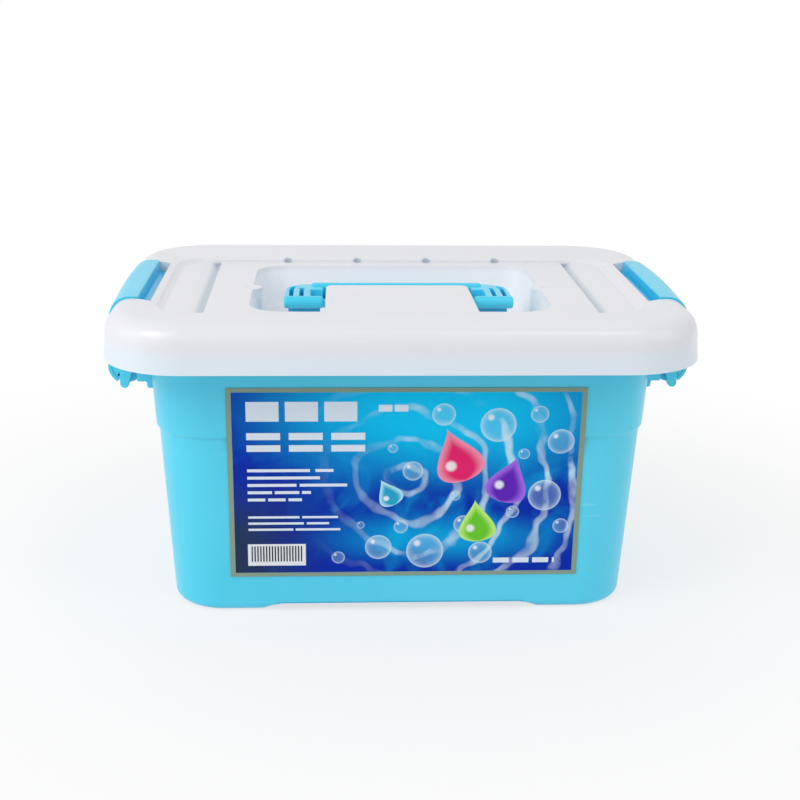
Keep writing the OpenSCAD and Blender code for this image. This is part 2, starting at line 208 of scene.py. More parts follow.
def soften(line, cuts, steps=3):
    """A line through any number of coordinates with each inner corner replaced by a parabola.

    The parabola starts cut before the corner and ends cut after it, with the corner as its middle control point.
    """
    line = np.asarray(line, float)
    out = [line[:1]]
    t = np.linspace(0.0, 1.0, steps + 1)[:, None]
    for before, corner, after, cut in zip(line[:-2], line[1:-1], line[2:], cuts):
        a = corner + (before - corner) * cut / np.linalg.norm(before - corner)
        b = corner + (after - corner) * cut / np.linalg.norm(after - corner)
        out.append((1 - t) ** 2 * a + 2 * t * (1 - t) * corner + t**2 * b)
    out.append(line[-1:])
    return np.vstack(out)


def outline(corners, steps=6):
    """A closed outline from corners (x, y, radius), and at each point the way out of it.

    A corner with a radius is a circle's arc that touches both sides. At a plain corner the way out is the mitre
    of its two sides.
    """
    c = np.asarray(corners, float)
    xy, r = c[:, :2], c[:, 2]
    ahead = np.roll(xy, -1, 0) - xy
    ahead /= np.linalg.norm(ahead, axis=1, keepdims=True)
    back = np.roll(ahead, 1, 0)
    out_back = np.stack([back[:, 1], -back[:, 0]], -1)
    out_ahead = np.stack([ahead[:, 1], -ahead[:, 0]], -1)
    turn = np.arctan2(back[:, 0] * ahead[:, 1] - back[:, 1] * ahead[:, 0], (back * ahead).sum(1))
    points, ways = [], []
    for i in range(len(c)):
        if r[i] == 0 or abs(turn[i]) < 1e-6:
            mitre = out_back[i] + out_ahead[i]
            points.append(xy[i][None])
            ways.append((mitre / (1 + out_back[i] @ out_ahead[i]))[None])
            continue
        side = math.copysign(1.0, turn[i])
        middle = xy[i] - back[i] * r[i] * math.tan(abs(turn[i]) / 2) - side * out_back[i] * r[i]
        a = np.linspace(0, turn[i], steps + 1)[:, None]
        way = np.cos(a) * out_back[i] + np.sin(a) * np.array([-out_back[i][1], out_back[i][0]])
        points.append(middle + side * r[i] * way)
        ways.append(way)
    return np.vstack(points), np.vstack(ways)


def edge_curve(radius, steps=3):
    """Quarter circle of a rounded edge, as (distance pulled in, distance below the face), from side to face.

    A sharp edge has one point.
    """
    a = np.radians(np.linspace(0, 90, steps + 1 if radius else 1))
    return np.stack([radius * (1 - np.cos(a)), radius * (1 - np.sin(a))], -1)


def rows_at(flat, heights):
    """Rows of points in a plane with a third coordinate added, which is one value for each row."""
    third = np.broadcast_to(np.asarray(heights, float)[:, None, None], flat.shape[:2] + (1,))
    return np.concatenate([flat, third], -1)


def inside(points, loops):
    """Even-odd test: a point is inside where a line from it crosses the loops an odd number of times."""
    hits = np.zeros(len(points), int)
    for loop in loops:
        a, b = loop, np.roll(loop, -1, 0)
        x, y = points[:, :1], points[:, 1:]
        crosses = (a[:, 1] > y) != (b[:, 1] > y)
        rise = np.where(b[:, 1] == a[:, 1], 1.0, b[:, 1] - a[:, 1])
        hits += (crosses & (x < a[:, 0] + (y - a[:, 1]) * (b[:, 0] - a[:, 0]) / rise)).sum(1)
    return hits % 2 == 1


class Shell:
    """Gathers grids and flat plates in millimetres, and makes one mesh of them in metres.

    axes says which of X, Y and Z the three given coordinates are, so a section can be drawn in X and Z and
    carried along Y.
    """

    def __init__(self, axes=(0, 1, 2), lift=0.0):
        self.axes = axes
        self.lift = lift
        self.points = []
        self.faces = []
        self.total = 0

    def add(self, points, faces, axes=None):
        """Adds points, and faces that count from the first of them."""
        flat = np.asarray(points, float).reshape(-1, 3)
        placed = np.empty_like(flat)
        placed[:, list(axes or self.axes)] = flat
        self.points.append(placed)
        self.faces += (np.asarray(faces) + self.total).tolist()
        self.total += len(flat)

    def grid(self, points, wrap=(False, False), axes=None):
        """Quads between neighbours of a (rows, columns, 3) array, joined up where wrap says so."""
        n, m = points.shape[:2]
        ids = np.arange(n * m).reshape(n, m)
        if wrap[0]:
            ids = np.vstack([ids, ids[:1]])
        if wrap[1]:
            ids = np.hstack([ids, ids[:, :1]])
        quads = np.stack([ids[:-1, :-1], ids[1:, :-1], ids[1:, 1:], ids[:-1, 1:]], -1)
        self.add(points, quads.reshape(-1, 4), axes)

    def plate(self, loops, height, axes=None):
        """Flat plate at a height, inside the first outline and outside the others."""
        loops = [np.asarray(loop, float)[:, :2] for loop in loops]
        ends = np.cumsum([len(loop) for loop in loops])
        rings = [np.arange(end - len(loop), end) for loop, end in zip(loops, ends)]
        edges = np.vstack([np.stack([ring, np.roll(ring, -1)], -1) for ring in rings])
        made = delaunay_2d_cdt([Vector(p) for p in np.vstack(loops)], edges.tolist(), [], 0, 1e-4)
        xy = np.array([tuple(v) for v in made[0]])
        triangles = np.array(made[2])
        triangles = triangles[inside(xy[triangles].mean(1), loops)]
        self.add(np.column_stack([xy, np.full(len(xy), height)]), triangles, axes)

    def wall(self, shape, rows, axes):
        """Rows of an outline, each moved along its ways out and put at a height. Gives the first and last row."""
        points, ways = shape
        moved, heights = np.array(rows).T
        side = points[None] + moved[:, None, None] * ways[None]
        self.grid(rows_at(side, heights), (False, True), axes)
        return side[0], side[-1]

    def block(self, shape, low, high, edges=(0.0, 0.0), holes=(), axes=None):
        """Closed solid over an outline, with rounded edges at its low and high ends and holes with rounded rims.

        A side point is the outline's point minus its way out times the edge curve's pull, at the edge curve's
        height. At a hole's rim the pull has the other sign.
        """
        bottom = [(-pull, low + below) for pull, below in edge_curve(edges[0])[::-1]]
        top = [(-pull, high - below) for pull, below in edge_curve(edges[1])]
        rims = [self.wall(shape, bottom + top, axes)]
        for hole in holes:
            rims.append(self.wall(hole, [(0.0, low)] + [(-moved, z) for moved, z in top], axes))
        self.plate([rim[0] for rim in rims], low, axes)
        self.plate([rim[1] for rim in rims], high, axes)

    def rod(self, centre, radius, low, high, edge, sides=32, axes=None):
        """Round rod along the third coordinate, its ends rounded."""
        a = np.radians(np.arange(sides) * 360.0 / sides)
        ways = np.stack([np.cos(a), np.sin(a)], -1)
        self.block((np.asarray(centre) + radius * ways, ways), low, high, (edge, edge), axes=axes)

    def mesh(self, name, facing=None, mirror=False):
        """The gathered surface as a mesh: doubles merged, faces turned outwards.

        For an open surface, facing is the way that its furthest face in that direction has to look.
        """
        points = (np.vstack(self.points) + (0.0, 0.0, self.lift)) * MM
        if mirror:
            points[:, 0] *= -1
        mesh = bpy.data.meshes.new(name)
        mesh.from_pydata(points, [], self.faces)
        bm = bmesh.new()
        bm.from_mesh(mesh)
        bmesh.ops.remove_doubles(bm, verts=bm.verts, dist=4e-6)
        bmesh.ops.dissolve_degenerate(bm, dist=1e-6, edges=bm.edges)
        bmesh.ops.recalc_face_normals(bm, faces=bm.faces)
        if facing:
            way = Vector(facing)
            furthest = max(bm.faces, key=lambda face: face.calc_center_median().dot(way))
            if furthest.normal.dot(way) < 0:
                bmesh.ops.reverse_faces(bm, faces=bm.faces)
        bm.to_mesh(mesh)
        bm.free()
        return mesh


# Angles in degrees over which an edge stays sharp, and over which it is bevelled where a piece asks for that
SHARP, BEVELLED = 32.0, 50.0


def settle(obj):
    """Puts the modifiers' result into the object's mesh."""
    mesh = bpy.data.meshes.new_from_object(obj.evaluated_get(bpy.context.evaluated_depsgraph_get()))
    mesh.name = obj.name
    obj.modifiers.clear()
    obj.data = mesh


def piece(name, shell, body, slot, nodes=(), solidify=0.0, bevel=0.0, **turned):
    """Adds a shell to the scene as a piece of the tub that rides on a body and stands for CAD nodes.

    Its modifiers are settled into its mesh, which is smooth except at edges sharper than SHARP degrees.
    """
    obj = bpy.data.objects.new(name, shell.mesh(name, **turned))
    bpy.context.scene.collection.objects.link(obj)
    if solidify:
        wall = obj.modifiers.new("Wall", "SOLIDIFY")
        wall.thickness = solidify
        wall.offset = -1
        wall.use_even_offset = True
    if bevel:
        rim = obj.modifiers.new("Edges", "BEVEL")
        rim.width = bevel
        rim.segments = 2
        rim.limit_method = "ANGLE"
        rim.angle_limit = math.radians(BEVELLED)
    bpy.context.view_layer.update()
    settle(obj)
    obj.data.polygons.foreach_set("use_smooth", np.ones(len(obj.data.polygons), bool))
    obj.data.set_sharp_from_angle(angle=math.radians(SHARP))
    obj.modifiers.new("Flat faces stay flat", "WEIGHTED_NORMAL").keep_sharp = True
    bpy.context.view_layer.update()
    settle(obj)
    obj.data.materials.clear()
    obj.data.materials.append(finish_of(slot))
    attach(obj, body)
    if nodes:
        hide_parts(*nodes)
    return obj


# ------------------------------------------------------------- materials


def place(tree, kind, inputs=None, **settings):
    """Adds a shader node, sets what it is set to, and joins or fills its inputs."""
    made = tree.nodes.new("ShaderNode" + kind)
    for key, value in settings.items():
        setattr(made, key, value)
    for key, value in (inputs or {}).items():
        if isinstance(value, bpy.types.NodeSocket):
            tree.links.new(value, made.inputs[key])
        else:
            made.inputs[key].default_value = value
    return made


def calc(tree, what, *values, clamp=False):
    """One step of arithmetic on numbers or sockets."""
    return place(tree, "Math", dict(enumerate(values)), operation=what, use_clamp=clamp).outputs[0]


def product(tree, first, *others):
    """Numbers or masks multiplied together."""
    for other in others:
        first = calc(tree, "MULTIPLY", first, other)
    return first


def vector(tree, what, *values):
    """One step of arithmetic on vectors."""
    made = place(tree, "VectorMath", dict(enumerate(values)), operation=what)
    return made.outputs["Value" if what in ("LENGTH", "DISTANCE") else "Vector"]


def scaled_down(tree, way, size):
    """A vector divided by a size."""
    inputs = {"Vector": way, "Scale": calc(tree, "DIVIDE", 1.0, size)}
    return place(tree, "VectorMath", inputs, operation="SCALE").outputs[0]


def split(tree, way):
    """X, Y and Z of a vector."""
    return place(tree, "SeparateXYZ", {0: way}).outputs


def noise(tree, where, scale, detail, distortion=0.0):
    """Noise from 0 to 1."""
    inputs = {"Vector": where, "Scale": scale, "Detail": detail, "Distortion": distortion}
    return place(tree, "TexNoise", inputs).outputs[0]


def remap(tree, value, low, high, to_low=0.0, to_high=1.0, smooth=False):
    """A number carried from one range to another, held at its ends."""
    inputs = {0: value, 1: low, 2: high, 3: to_low, 4: to_high}
    how = "SMOOTHSTEP" if smooth else "LINEAR"
    return place(tree, "MapRange", inputs, interpolation_type=how).outputs[0]


def blend(tree, mask, first, second, amount=1.0):
    """Colour that goes from the first to the second where the mask is 1, by at most the amount."""
    if amount < 1.0:
        mask = calc(tree, "MULTIPLY", mask, amount)
    ends = [c if isinstance(c, bpy.types.NodeSocket) else (*c[:3], 1.0) for c in (first, second)]
    return place(tree, "Mix", {0: mask, 6: ends[0], 7: ends[1]}, data_type="RGBA").outputs[2]


def effect(name, inputs, outputs):
    """Makes a function that draws the inside of a node group into one that gives the group, made only once.

    The function gets the group's tree and inputs, and gives back a socket for each output. An input is a number
    where its default is one, and else a vector.
    """

    def wrap(draw):
        def group():
            if name in bpy.data.node_groups:
                return bpy.data.node_groups[name]
            tree = bpy.data.node_groups.new(name, "ShaderNodeTree")
            for label, default in inputs.items():
                kind = "NodeSocketFloat" if isinstance(default, float) else "NodeSocketVector"
                socket = tree.interface.new_socket(label, in_out="INPUT", socket_type=kind)
                if default is not None:
                    socket.default_value = default
            for label in outputs:
                tree.interface.new_socket(label, in_out="OUTPUT", socket_type="NodeSocketFloat")
            given = tree.nodes.new("NodeGroupInput").outputs
            out = tree.nodes.new("NodeGroupOutput").inputs
            for label, socket in zip(outputs, draw(tree, given)):
                tree.links.new(socket, out[label])
            return tree

        group.__doc__ = draw.__doc__
        return group

    return wrap


def use(tree, group, **inputs):
    """Puts a node group into a material, its inputs given by name."""
    return place(tree, "Group", inputs, node_tree=group).outputs


@effect("Moulded grain", {"Vector": None, "Grain": 0.25, "Ripple": 0.5}, ("Height", "Tone"))
def moulded_grain(tree, given):
    """Fine grain and slow ripples of moulded plastic: a height, and a tone from 0 to 1 that varies slowly."""
    fine = noise(tree, given["Vector"], 2600.0, 3.0)
    slow = noise(tree, given["Vector"], 24.0, 2.0)
    wide = noise(tree, given["Vector"], 9.0, 3.0)
    grain = product(tree, fine, given["Grain"], 0.05)
    ripple = product(tree, slow, given["Ripple"])
    return calc(tree, "ADD", grain, ripple), remap(tree, wide, 0.3, 0.7, smooth=True)


@effect("Handling marks", {"Vector": None, "Amount": 0.35}, ("Mask", "Rub"))
def handling_marks(tree, given):
    """Fine scratches in two slants and rubbed patches: masks that are 0 on clean plastic."""
    lines = []
    for turn, scale in (((0.3, 0.2, 0.5), 300.0), ((-0.2, 0.4, -0.7), 380.0)):
        drawn_out = {"Vector": given["Vector"], "Rotation": turn, "Scale": (0.06, 1.0, 1.0)}
        turned = place(tree, "Mapping", drawn_out).outputs[0]
        lines.append(remap(tree, noise(tree, turned, scale, 1.0), 0.70, 0.76))
    rub = remap(tree, noise(tree, given["Vector"], 38.0, 4.0), 0.5, 0.72, smooth=True)
    marks = calc(tree, "MAXIMUM", *lines)
    return product(tree, marks, rub, given["Amount"]), product(tree, rub, given["Amount"])


@effect("Dark specks", {"Vector": None, "Scale": 60.0, "Share": 0.1, "Size": 0.03}, ("Mask",))
def dark_specks(tree, given):
    """Sparse round specks: a cell's centre is a speck where the cell's own number is below the share."""
    cells = place(tree, "TexVoronoi", {"Vector": given["Vector"], "Scale": given["Scale"]}).outputs
    near = remap(tree, cells["Distance"], given["Size"], product(tree, given["Size"], 0.4))
    number = place(tree, "SeparateColor", {"Color": cells["Color"]}).outputs[0]
    return (product(tree, near, calc(tree, "LESS_THAN", number, given["Share"])),)


# Painted light and shade: blue light through the lid's skirt, a lighter well, and painted shade in grooves,
# dimples, latch recesses, under the handle and at the base's edge
PAINTED_SKIRT_BLUE, PAINTED_WELL_LIGHT, PAINTED_CREASE_SHADE = (0.70, 0.87, 0.97), (0.92, 0.96, 1.0), (0.44, 0.53, 0.62)
PAINTED_RECESS_SHADE, PAINTED_UNDER_HANDLE_SHADE, BASE_TINT = (0.0, 0.56, 0.92), (0.0, 0.34, 0.66), (0.0, 0.26, 0.56)


def from_deck(height):
    """Height in metres of a place so many millimetres above the lid's deck."""
    return (DECK_Z + LIFT + height) * MM


def painted_lid_light_and_shade(tree, where, tone):
    """Lets a little of the blue below show through the thin white sheet, in the well and low on the skirt.

    The bottoms of the grooves and dimples are thicker plastic, so they are cooler and darker.
    """
    x, y, z = split(tree, where)
    side, depth = calc(tree, "ABSOLUTE", x), calc(tree, "ABSOLUTE", y)
    # Inside the rolled rim
    middle = product(
        tree,
        calc(tree, "LESS_THAN", side, ROLL_END[0] * MM),
        calc(tree, "LESS_THAN", depth, (ROLL_END[1] + 0.5) * MM),
    )
    # Painted light: the well turns lighter and bluer with depth below the deck
    deep = product(tree, middle, remap(tree, z, from_deck(0.0), from_deck(-3.5), 0.0, 0.65, smooth=True))
    # Painted light: the tub's blue showing through, painted as a bluer band low on the skirt outside the rim
    low = remap(tree, z, from_deck(-3.5), from_deck(-12.0), 0.0, 0.42, smooth=True)
    low = product(tree, low, calc(tree, "SUBTRACT", 1.0, middle))
    tone = blend(tree, low, tone, PAINTED_SKIRT_BLUE)
    tone = blend(tree, deep, tone, PAINTED_WELL_LIGHT)
    # Painted shade on the bottom of each groove
    groove = product(
        tree,
        remap(tree, side, 86.6 * MM, 87.2 * MM),
        remap(tree, side, 92.5 * MM, 90.2 * MM),
        calc(tree, "LESS_THAN", depth, (GROOVE_Y + 0.3) * MM),
        remap(tree, z, from_deck(-0.1), from_deck(-0.8)),
    )
    # The dimples are evenly spaced, and the middle two stand half a space from the lid's middle
    across = calc(tree, "SUBTRACT", calc(tree, "PINGPONG", x, 2 * DIMPLES[2] * MM), DIMPLES[2] * MM)
    along = calc(tree, "SUBTRACT", depth, (DECK[1] + 0.6) * MM)
    away = place(tree, "CombineXYZ", {0: across, 1: along}).outputs[0]
    # Painted shade in each dimple
    dimple = product(
        tree,
        remap(tree, vector(tree, "LENGTH", away), 2.4 * MM, 1.2 * MM),
        calc(tree, "LESS_THAN", side, 60.0 * MM),
        remap(tree, z, from_deck(1.5), from_deck(0.8)),
    )
    return blend(tree, calc(tree, "MAXIMUM", groove, dimple), tone, PAINTED_CREASE_SHADE, 0.75)


def painted_fitting_shade(tree, where, tone):
    """Deepens the blue where the plastic is thick and shaded: in the latches' recess and under the handle."""
    x, y, z = split(tree, where)
    side = calc(tree, "ABSOLUTE", x)
    # Painted shade in the latches' recess, between the lip and the notch wall
    recess = product(
        tree,
        remap(tree, side, 117.3 * MM, 116.9 * MM),
        calc(tree, "GREATER_THAN", side, 100.0 * MM),
        remap(tree, z, from_deck(4.2), from_deck(3.6)),
    )
    tone = blend(tree, recess, tone, PAINTED_RECESS_SHADE)
    # Painted shade on the handle's underside, behind its round front
    below = product(
        tree,
        remap(tree, z, from_deck(-5.3), from_deck(-5.7)),
        calc(tree, "LESS_THAN", side, 56.0 * MM),
        remap(tree, y, -16.0 * MM, -15.0 * MM),
    )
    return blend(tree, below, tone, PAINTED_UNDER_HANDLE_SHADE, 0.7)


def base_tone(tree, where, tone):
    """Deepens the blue along the lower edge of the raised middle of the base, which no light reaches."""
    x, _, z = split(tree, where)
    edge = remap(tree, z, (RISE + 0.9) * MM, (RISE + 0.2) * MM)
    middle = remap(tree, calc(tree, "ABSOLUTE", x), 58.0 * MM, 54.0 * MM)
    return blend(tree, product(tree, edge, middle), tone, BASE_TINT, 0.75)


def new_material(name):
    """A new material with its tree and its shader."""
    material = bpy.data.materials.new(name)
    material.use_nodes = True
    return material, material.node_tree, material.node_tree.nodes["Principled BSDF"]


def dress(tree, shader, colour, rough, bump, **values):
    """Joins colour, roughness and bump to the shader, and sets values by name with spaces as underscores."""
    tree.links.new(colour, shader.inputs["Base Color"])
    tree.links.new(rough, shader.inputs["Roughness"])
    strength, distance, height = bump
    inputs = {"Strength": strength, "Distance": distance, "Height": height}
    tree.links.new(place(tree, "Bump", inputs).outputs[0], shader.inputs["Normal"])
    for key, value in values.items():
        shader.inputs[key.replace("_", " ")].default_value = value


def plastic(name, colour, rough, shade, specks, paint_light_and_shade):
    """Moulded plastic with a fine grain: its tone drifts, and rubbed patches and scratches break up its gloss."""
    look = settings()[1]
    material, tree, shader = new_material(name)
    where = place(tree, "TexCoord").outputs["Object"]
    grained = use(tree, moulded_grain(), Vector=where, Grain=look.grain, Ripple=0.5)
    marked = use(tree, handling_marks(), Vector=where, Amount=look.wear)
    darker = [c * (1 - shade) for c in colour]
    lighter = [min(1.0, c + shade * 0.5 * (1 - c)) for c in colour]
    tone = blend(tree, grained["Tone"], darker, lighter)
    tone = blend(tree, marked["Mask"], tone, [0.5 + 0.5 * c for c in colour])
    # Painted light and shade of each plastic
    tone = paint_light_and_shade(tree, where, tone)
    if specks:
        spotted = use(tree, dark_specks(), Vector=where, Scale=70.0, Share=specks, Size=0.035)
        tone = blend(tree, spotted["Mask"], tone, (0.08, 0.08, 0.09), 0.8)
    gloss = calc(tree, "MULTIPLY_ADD", marked["Rub"], 0.22, rough)
    gloss = calc(tree, "MULTIPLY_ADD", marked["Mask"], 0.25, gloss)
    bump = (0.35, 0.0006, grained["Height"])
    dress(tree, shader, tone, gloss, bump, Coat_Weight=0.15, Coat_Roughness=0.18, IOR=1.49)
    return material


# For each slot: the material's name, its colour setting, roughness, drift of tone, share of specks, and the
# function that paints its light and shade
PLASTICS = {
    "lid_plastic": ("White lid plastic", "lid", 0.30, 0.02, 0.03, painted_lid_light_and_shade),
    "tub_plastic": ("Blue tub plastic", "tub", 0.33, 0.05, 0.0, base_tone),
    "fitting_plastic": ("Blue fitting plastic", "fitting", 0.26, 0.05, 0.0, painted_fitting_shade),
}


def finish_of(slot):
    """The material of a slot, made the first time that a piece asks for it."""
    if slot == "label_film":
        return label_film()
    name, colour, *others = PLASTICS[slot]
    if name in bpy.data.materials:
        return bpy.data.materials[name]
    return plastic(name, getattr(settings()[1], colour), *others)


# ------------------------------------------------------------------- tub


def wall_ring(z, inset=0.0):
    """Half width, half depth, corner radius and height of the tub's outer wall at a height, with its step."""
    out = (STEP_OUT if z >= STEP_Z else 0.0) - inset
    radius = CORNER_R - (1.0 - z / RIM_Z)
    return np.array([WALL_W + LEAN * z + out, WALL_D + LEAN * z + out, radius + out, z])


def ring_points(rings, stations, steps):
    """Points round rounded rectangles, one row for each ring (half width, half depth, corner radius, height).

    Each row starts at the middle of the front and goes anticlockwise. Stations are places along the straight
    front and back, kept at the same X in every ring, and each corner is a quarter circle. The left half is the
    right half turned half round.
    """
    w, d, r = (rings[:, i : i + 1] for i in range(3))
    x = np.ones_like(w) * np.asarray(stations, float)[None]
    y = d * np.ones_like(x)
    a = np.radians(np.linspace(-90, 0, steps + 1))[None]
    b = a + np.pi / 2
    cx, cy = w - r, d - r
    right = [
        (x, -y),
        (cx + r * np.cos(a), -cy + r * np.sin(a)),
        (cx + r * np.cos(b), cy + r * np.sin(b)),
        (x[:, ::-1], y),
    ]
    xy = np.stack([np.hstack([part[i] for part in right]) for i in range(2)], -1)
    return rows_at(np.hstack([xy, -xy]), rings[:, 3])


def base_rings(inset):
    """Rings of the rounded foot: each pulled in by the radius times one minus sine, up by one minus cosine."""
    a = np.radians(np.linspace(0, 90, 9))
    r = FOOT_R - inset
    rows = np.repeat(wall_ring(FOOT_R)[None], len(a), 0)
    rows[:, :3] -= (inset + r * (1 - np.sin(a)))[:, None]
    rows[:, 3] = inset + r * (1 - np.cos(a))
    return rows


def raised_base(points, lift):
    """Lifts what lies low in the middle of the base onto the raised middle, which falls to 0 along two ramps."""
    rise = np.clip((RISE_FROM - np.abs(points[..., 0])) / (RISE_FROM - RISE_TO), 0, 1) * RISE + lift
    points[..., 2] = np.maximum(points[..., 2], rise)
    return points


# The tub's rolled rim, as half width, half depth and corner radius: where it leaves the wall, and its lip
FLANGE, LIP = (122.0, 87.0, 28.0), (124.2, 89.2, 30.2)
# An ear's side in X and Z with the radius of each corner, and the eye that the latch's pin turns in
EAR = (
    (109.66, 123.9, 0), (109.66, 97.5, 0), (114.06, 97.5, 1.0), (114.06, 100.5, 0.8), (118.4, 100.5, 0.6),
    (118.4, 117.4, 0.5), (120.0, 117.4, 0.5), (120.0, 106.5, 1.0), (122.0, 99.5, 0.5), (122.0, 97.5, 1.95),
    (126.0, 97.5, 1.95), (126.0, 117.4, 0.8), (124.2, 117.4, 0.3), (124.2, 123.9, 0.5),
)
EYE_R = 1.26


class OBJECT_OT_pod_tub_shell(bpy.types.Operator):
    """Makes the tub's moulded shell, with its step, raised base, rim and latch ears"""

    bl_idname = "object.pod_tub_shell"
    bl_label = "Tub"

    def execute(self, context):
        sizes = settings()[0]
        wall = sizes.tub_wall / MM
        stations = [0.0, 53.5, RISE_TO, 55.5, 63.0, RISE_FROM, 65.0, 78.0]
        flange_z, lip_z, below_step = RIM_Z - 2.2, RIM_Z - 5.5, STEP_Z - 1.2
        line = [wall_ring(z) for z in (40.0, below_step, STEP_Z, flange_z)]
        line += [(*FLANGE, flange_z), (*FLANGE, lip_z), (*LIP, lip_z), (*LIP, RIM_Z)]
        line += [wall_ring(z, wall) for z in (RIM_Z, STEP_Z, below_step, 40.0)]
        middle = soften(line, [0.7, 0.7, 1.2, 0.6, 0.5, 0.7, 1.4, 0.8, 0.7, 0.7])
        outer, inner = base_rings(0.0), base_rings(wall)
        skin = ring_points(np.vstack([outer, middle, inner[::-1]]), stations, sizes.corner_steps)
        skin[: len(outer)] = raised_base(skin[: len(outer)], 0.0)
        skin[-len(inner) :] = raised_base(skin[-len(inner) :], wall)
        shell = Shell()
        shell.grid(skin, (False, True))
        # Base and floor: strips across, between a point of the front half and its like at the back
        half = skin.shape[1] // 2
        quarter = half // 2
        ring = np.arange(skin.shape[1])
        front = np.concatenate([ring[-quarter:], ring[:quarter]])
        back = np.concatenate([ring[quarter * 3 - 1 : half - 1 : -1], ring[half - 1 : quarter - 1 : -1]])
        for row, lift in ((0, 0.0), (-1, wall)):
            across = np.array([0.0, 1.0])[:, None, None]
            strip = skin[row][front] * (1 - across) + skin[row][back] * across
            shell.grid(raised_base(strip, lift))
        piece("tub_shell", shell, "tub_body", "tub_plastic", ["tub"])
        ears = Shell((0, 2, 1), LIFT)
        eye = outline([(*point, 0) for point in arc(HINGE, EYE_R, 0, 345, 23)])
        for low, high in ((EAR_IN, EAR_OUT), (-EAR_OUT, -EAR_IN)):
            ears.block(outline(EAR, 4), low, high, (0.35, 0.35), holes=[eye])
        for side, mirror in (("right", False), ("left", True)):
            piece(f"latch_ears_{side}", ears, "tub_body", "tub_plastic", mirror=mirror)
        return {"FINISHED"}


# ----------------------------------------------------------------- label


def film_face(z):
    """Y of the tub's front face at a height, with the wall's step drawn out to a smooth ramp."""
    share = np.clip((z - (STEP_Z - BRIDGE)) / BRIDGE, 0, 1)
    return -(WALL_D + LEAN * z + STEP_OUT * share**2 * (3 - 2 * share))


@effect("Round spot", {"Vector": None, "Centre": (0, 0, 0), "Radius": 5.0}, ("Mask", "Ring", "Shine"))
def round_spot(tree, given):
    """A disc: 1 inside its radius, with a bright ring near its rim and a small highlight."""
    away = vector(tree, "SUBTRACT", given["Vector"], given["Centre"])
    share = calc(tree, "DIVIDE", vector(tree, "LENGTH", away), given["Radius"])
    mask = remap(tree, share, 1.0, 0.97)
    ring = product(tree, mask, calc(tree, "POWER", calc(tree, "MINIMUM", share, 1.0), 7.0))
    unit = scaled_down(tree, away, given["Radius"])
    spot = vector(tree, "DISTANCE", unit, (-0.42, 0.0, 0.45))
    return mask, ring, remap(tree, spot, 0.26, 0.08, smooth=True)


@effect(
    "Printed bar",
    {"Vector": None, "Centre": (0, 0, 0), "Half": (10, 0, 1), "Pitch": 10.0, "Fill": 0.8},
    ("Mask",),
)
def printed_bar(tree, given):
    """A bar cut into blocks: 1 inside half width and half height, with a gap each pitch."""
    away = vector(tree, "SUBTRACT", given["Vector"], given["Centre"])
    room = vector(tree, "SUBTRACT", given["Half"], vector(tree, "ABSOLUTE", away))
    room_x, _, room_z = split(tree, room)
    along = split(tree, vector(tree, "ADD", away, given["Half"]))[0]
    step = calc(tree, "FRACT", calc(tree, "DIVIDE", along, given["Pitch"]))
    block = calc(tree, "LESS_THAN", step, given["Fill"])
    return (product(tree, remap(tree, room_x, 0.0, 0.12), remap(tree, room_z, 0.0, 0.12), block),)


@effect(
    "Falling drop",
    {"Vector": None, "Centre": (0, 0, 0), "Size": 8.0, "Lean": 0.0},
    ("Mask", "Shade", "Shine"),
)
def falling_drop(tree, given):
    """A teardrop: inside where the sideways distance is less than a circle's times a taper towards the top."""
    local = vector(tree, "SUBTRACT", given["Vector"], given["Centre"])
    leaning = {"Vector": local, "Angle": given["Lean"]}
    turned = place(tree, "VectorRotate", leaning, rotation_type="Y_AXIS").outputs[0]
    unit = scaled_down(tree, turned, given["Size"])
    x, _, z = split(tree, unit)
    disc = calc(tree, "SQRT", calc(tree, "SUBTRACT", 1.0, product(tree, z, z), clamp=True))
    taper = calc(tree, "MULTIPLY_ADD", z, -0.5, 0.5, clamp=True)
    room = calc(tree, "SUBTRACT", product(tree, disc, taper, 1.25), calc(tree, "ABSOLUTE", x))
    spot = vector(tree, "DISTANCE", unit, (-0.3, 0.0, -0.35))
    return (
        remap(tree, room, 0.0, 0.03),
        remap(tree, room, 0.0, 0.45, smooth=True),
        remap(tree, spot, 0.24, 0.1, smooth=True),
    )


# The printed design, in millimetres from the label's middle
# Bubbles: X, Z and radius
BUBBLES = (
    (-12.0, -31.0, 6.0), (-2.0, -21.0, 3.2), (9.0, -33.0, 8.5), (26.0, -20.0, 4.4), (34.0, -34.0, 5.4),
    (3.0, 6.0, 4.6), (-6.0, 17.0, 2.2), (16.0, 33.0, 5.2), (40.0, 28.0, 8.0), (58.0, 33.0, 4.0),
    (68.0, 20.0, 6.0), (62.0, -6.0, 7.5), (70.0, -21.0, 3.6), (48.0, -14.0, 3.0), (-30.0, -36.0, 3.0),
    (22.0, -6.0, 2.4), (52.0, 14.0, 2.6), (-20.0, -20.0, 1.8),
)
# What of a bubble is seen, how strongly, and in what colour
BUBBLE_TINTS = (
    ("Mask", 0.16, (0.5, 0.85, 1.0)), ("Ring", 0.75, (0.85, 0.97, 1.0)), ("Shine", 0.8, (1.0, 1.0, 1.0)),
)
# Drops: X, Z, size, lean in radians, dark and bright colour
DROPS = (
    (22.0, 14.0, 13.5, 0.35, (0.86, 0.02, 0.16), (1.0, 0.32, 0.46)),
    (46.0, 2.0, 11.5, -0.30, (0.13, 0.02, 0.50), (0.42, 0.16, 0.86)),
    (32.0, -18.0, 10.5, 0.10, (0.16, 0.62, 0.03), (0.60, 0.95, 0.22)),
    (-8.0, -4.0, 7.0, 0.5, (0.02, 0.40, 0.62), (0.50, 0.88, 0.98)),
)
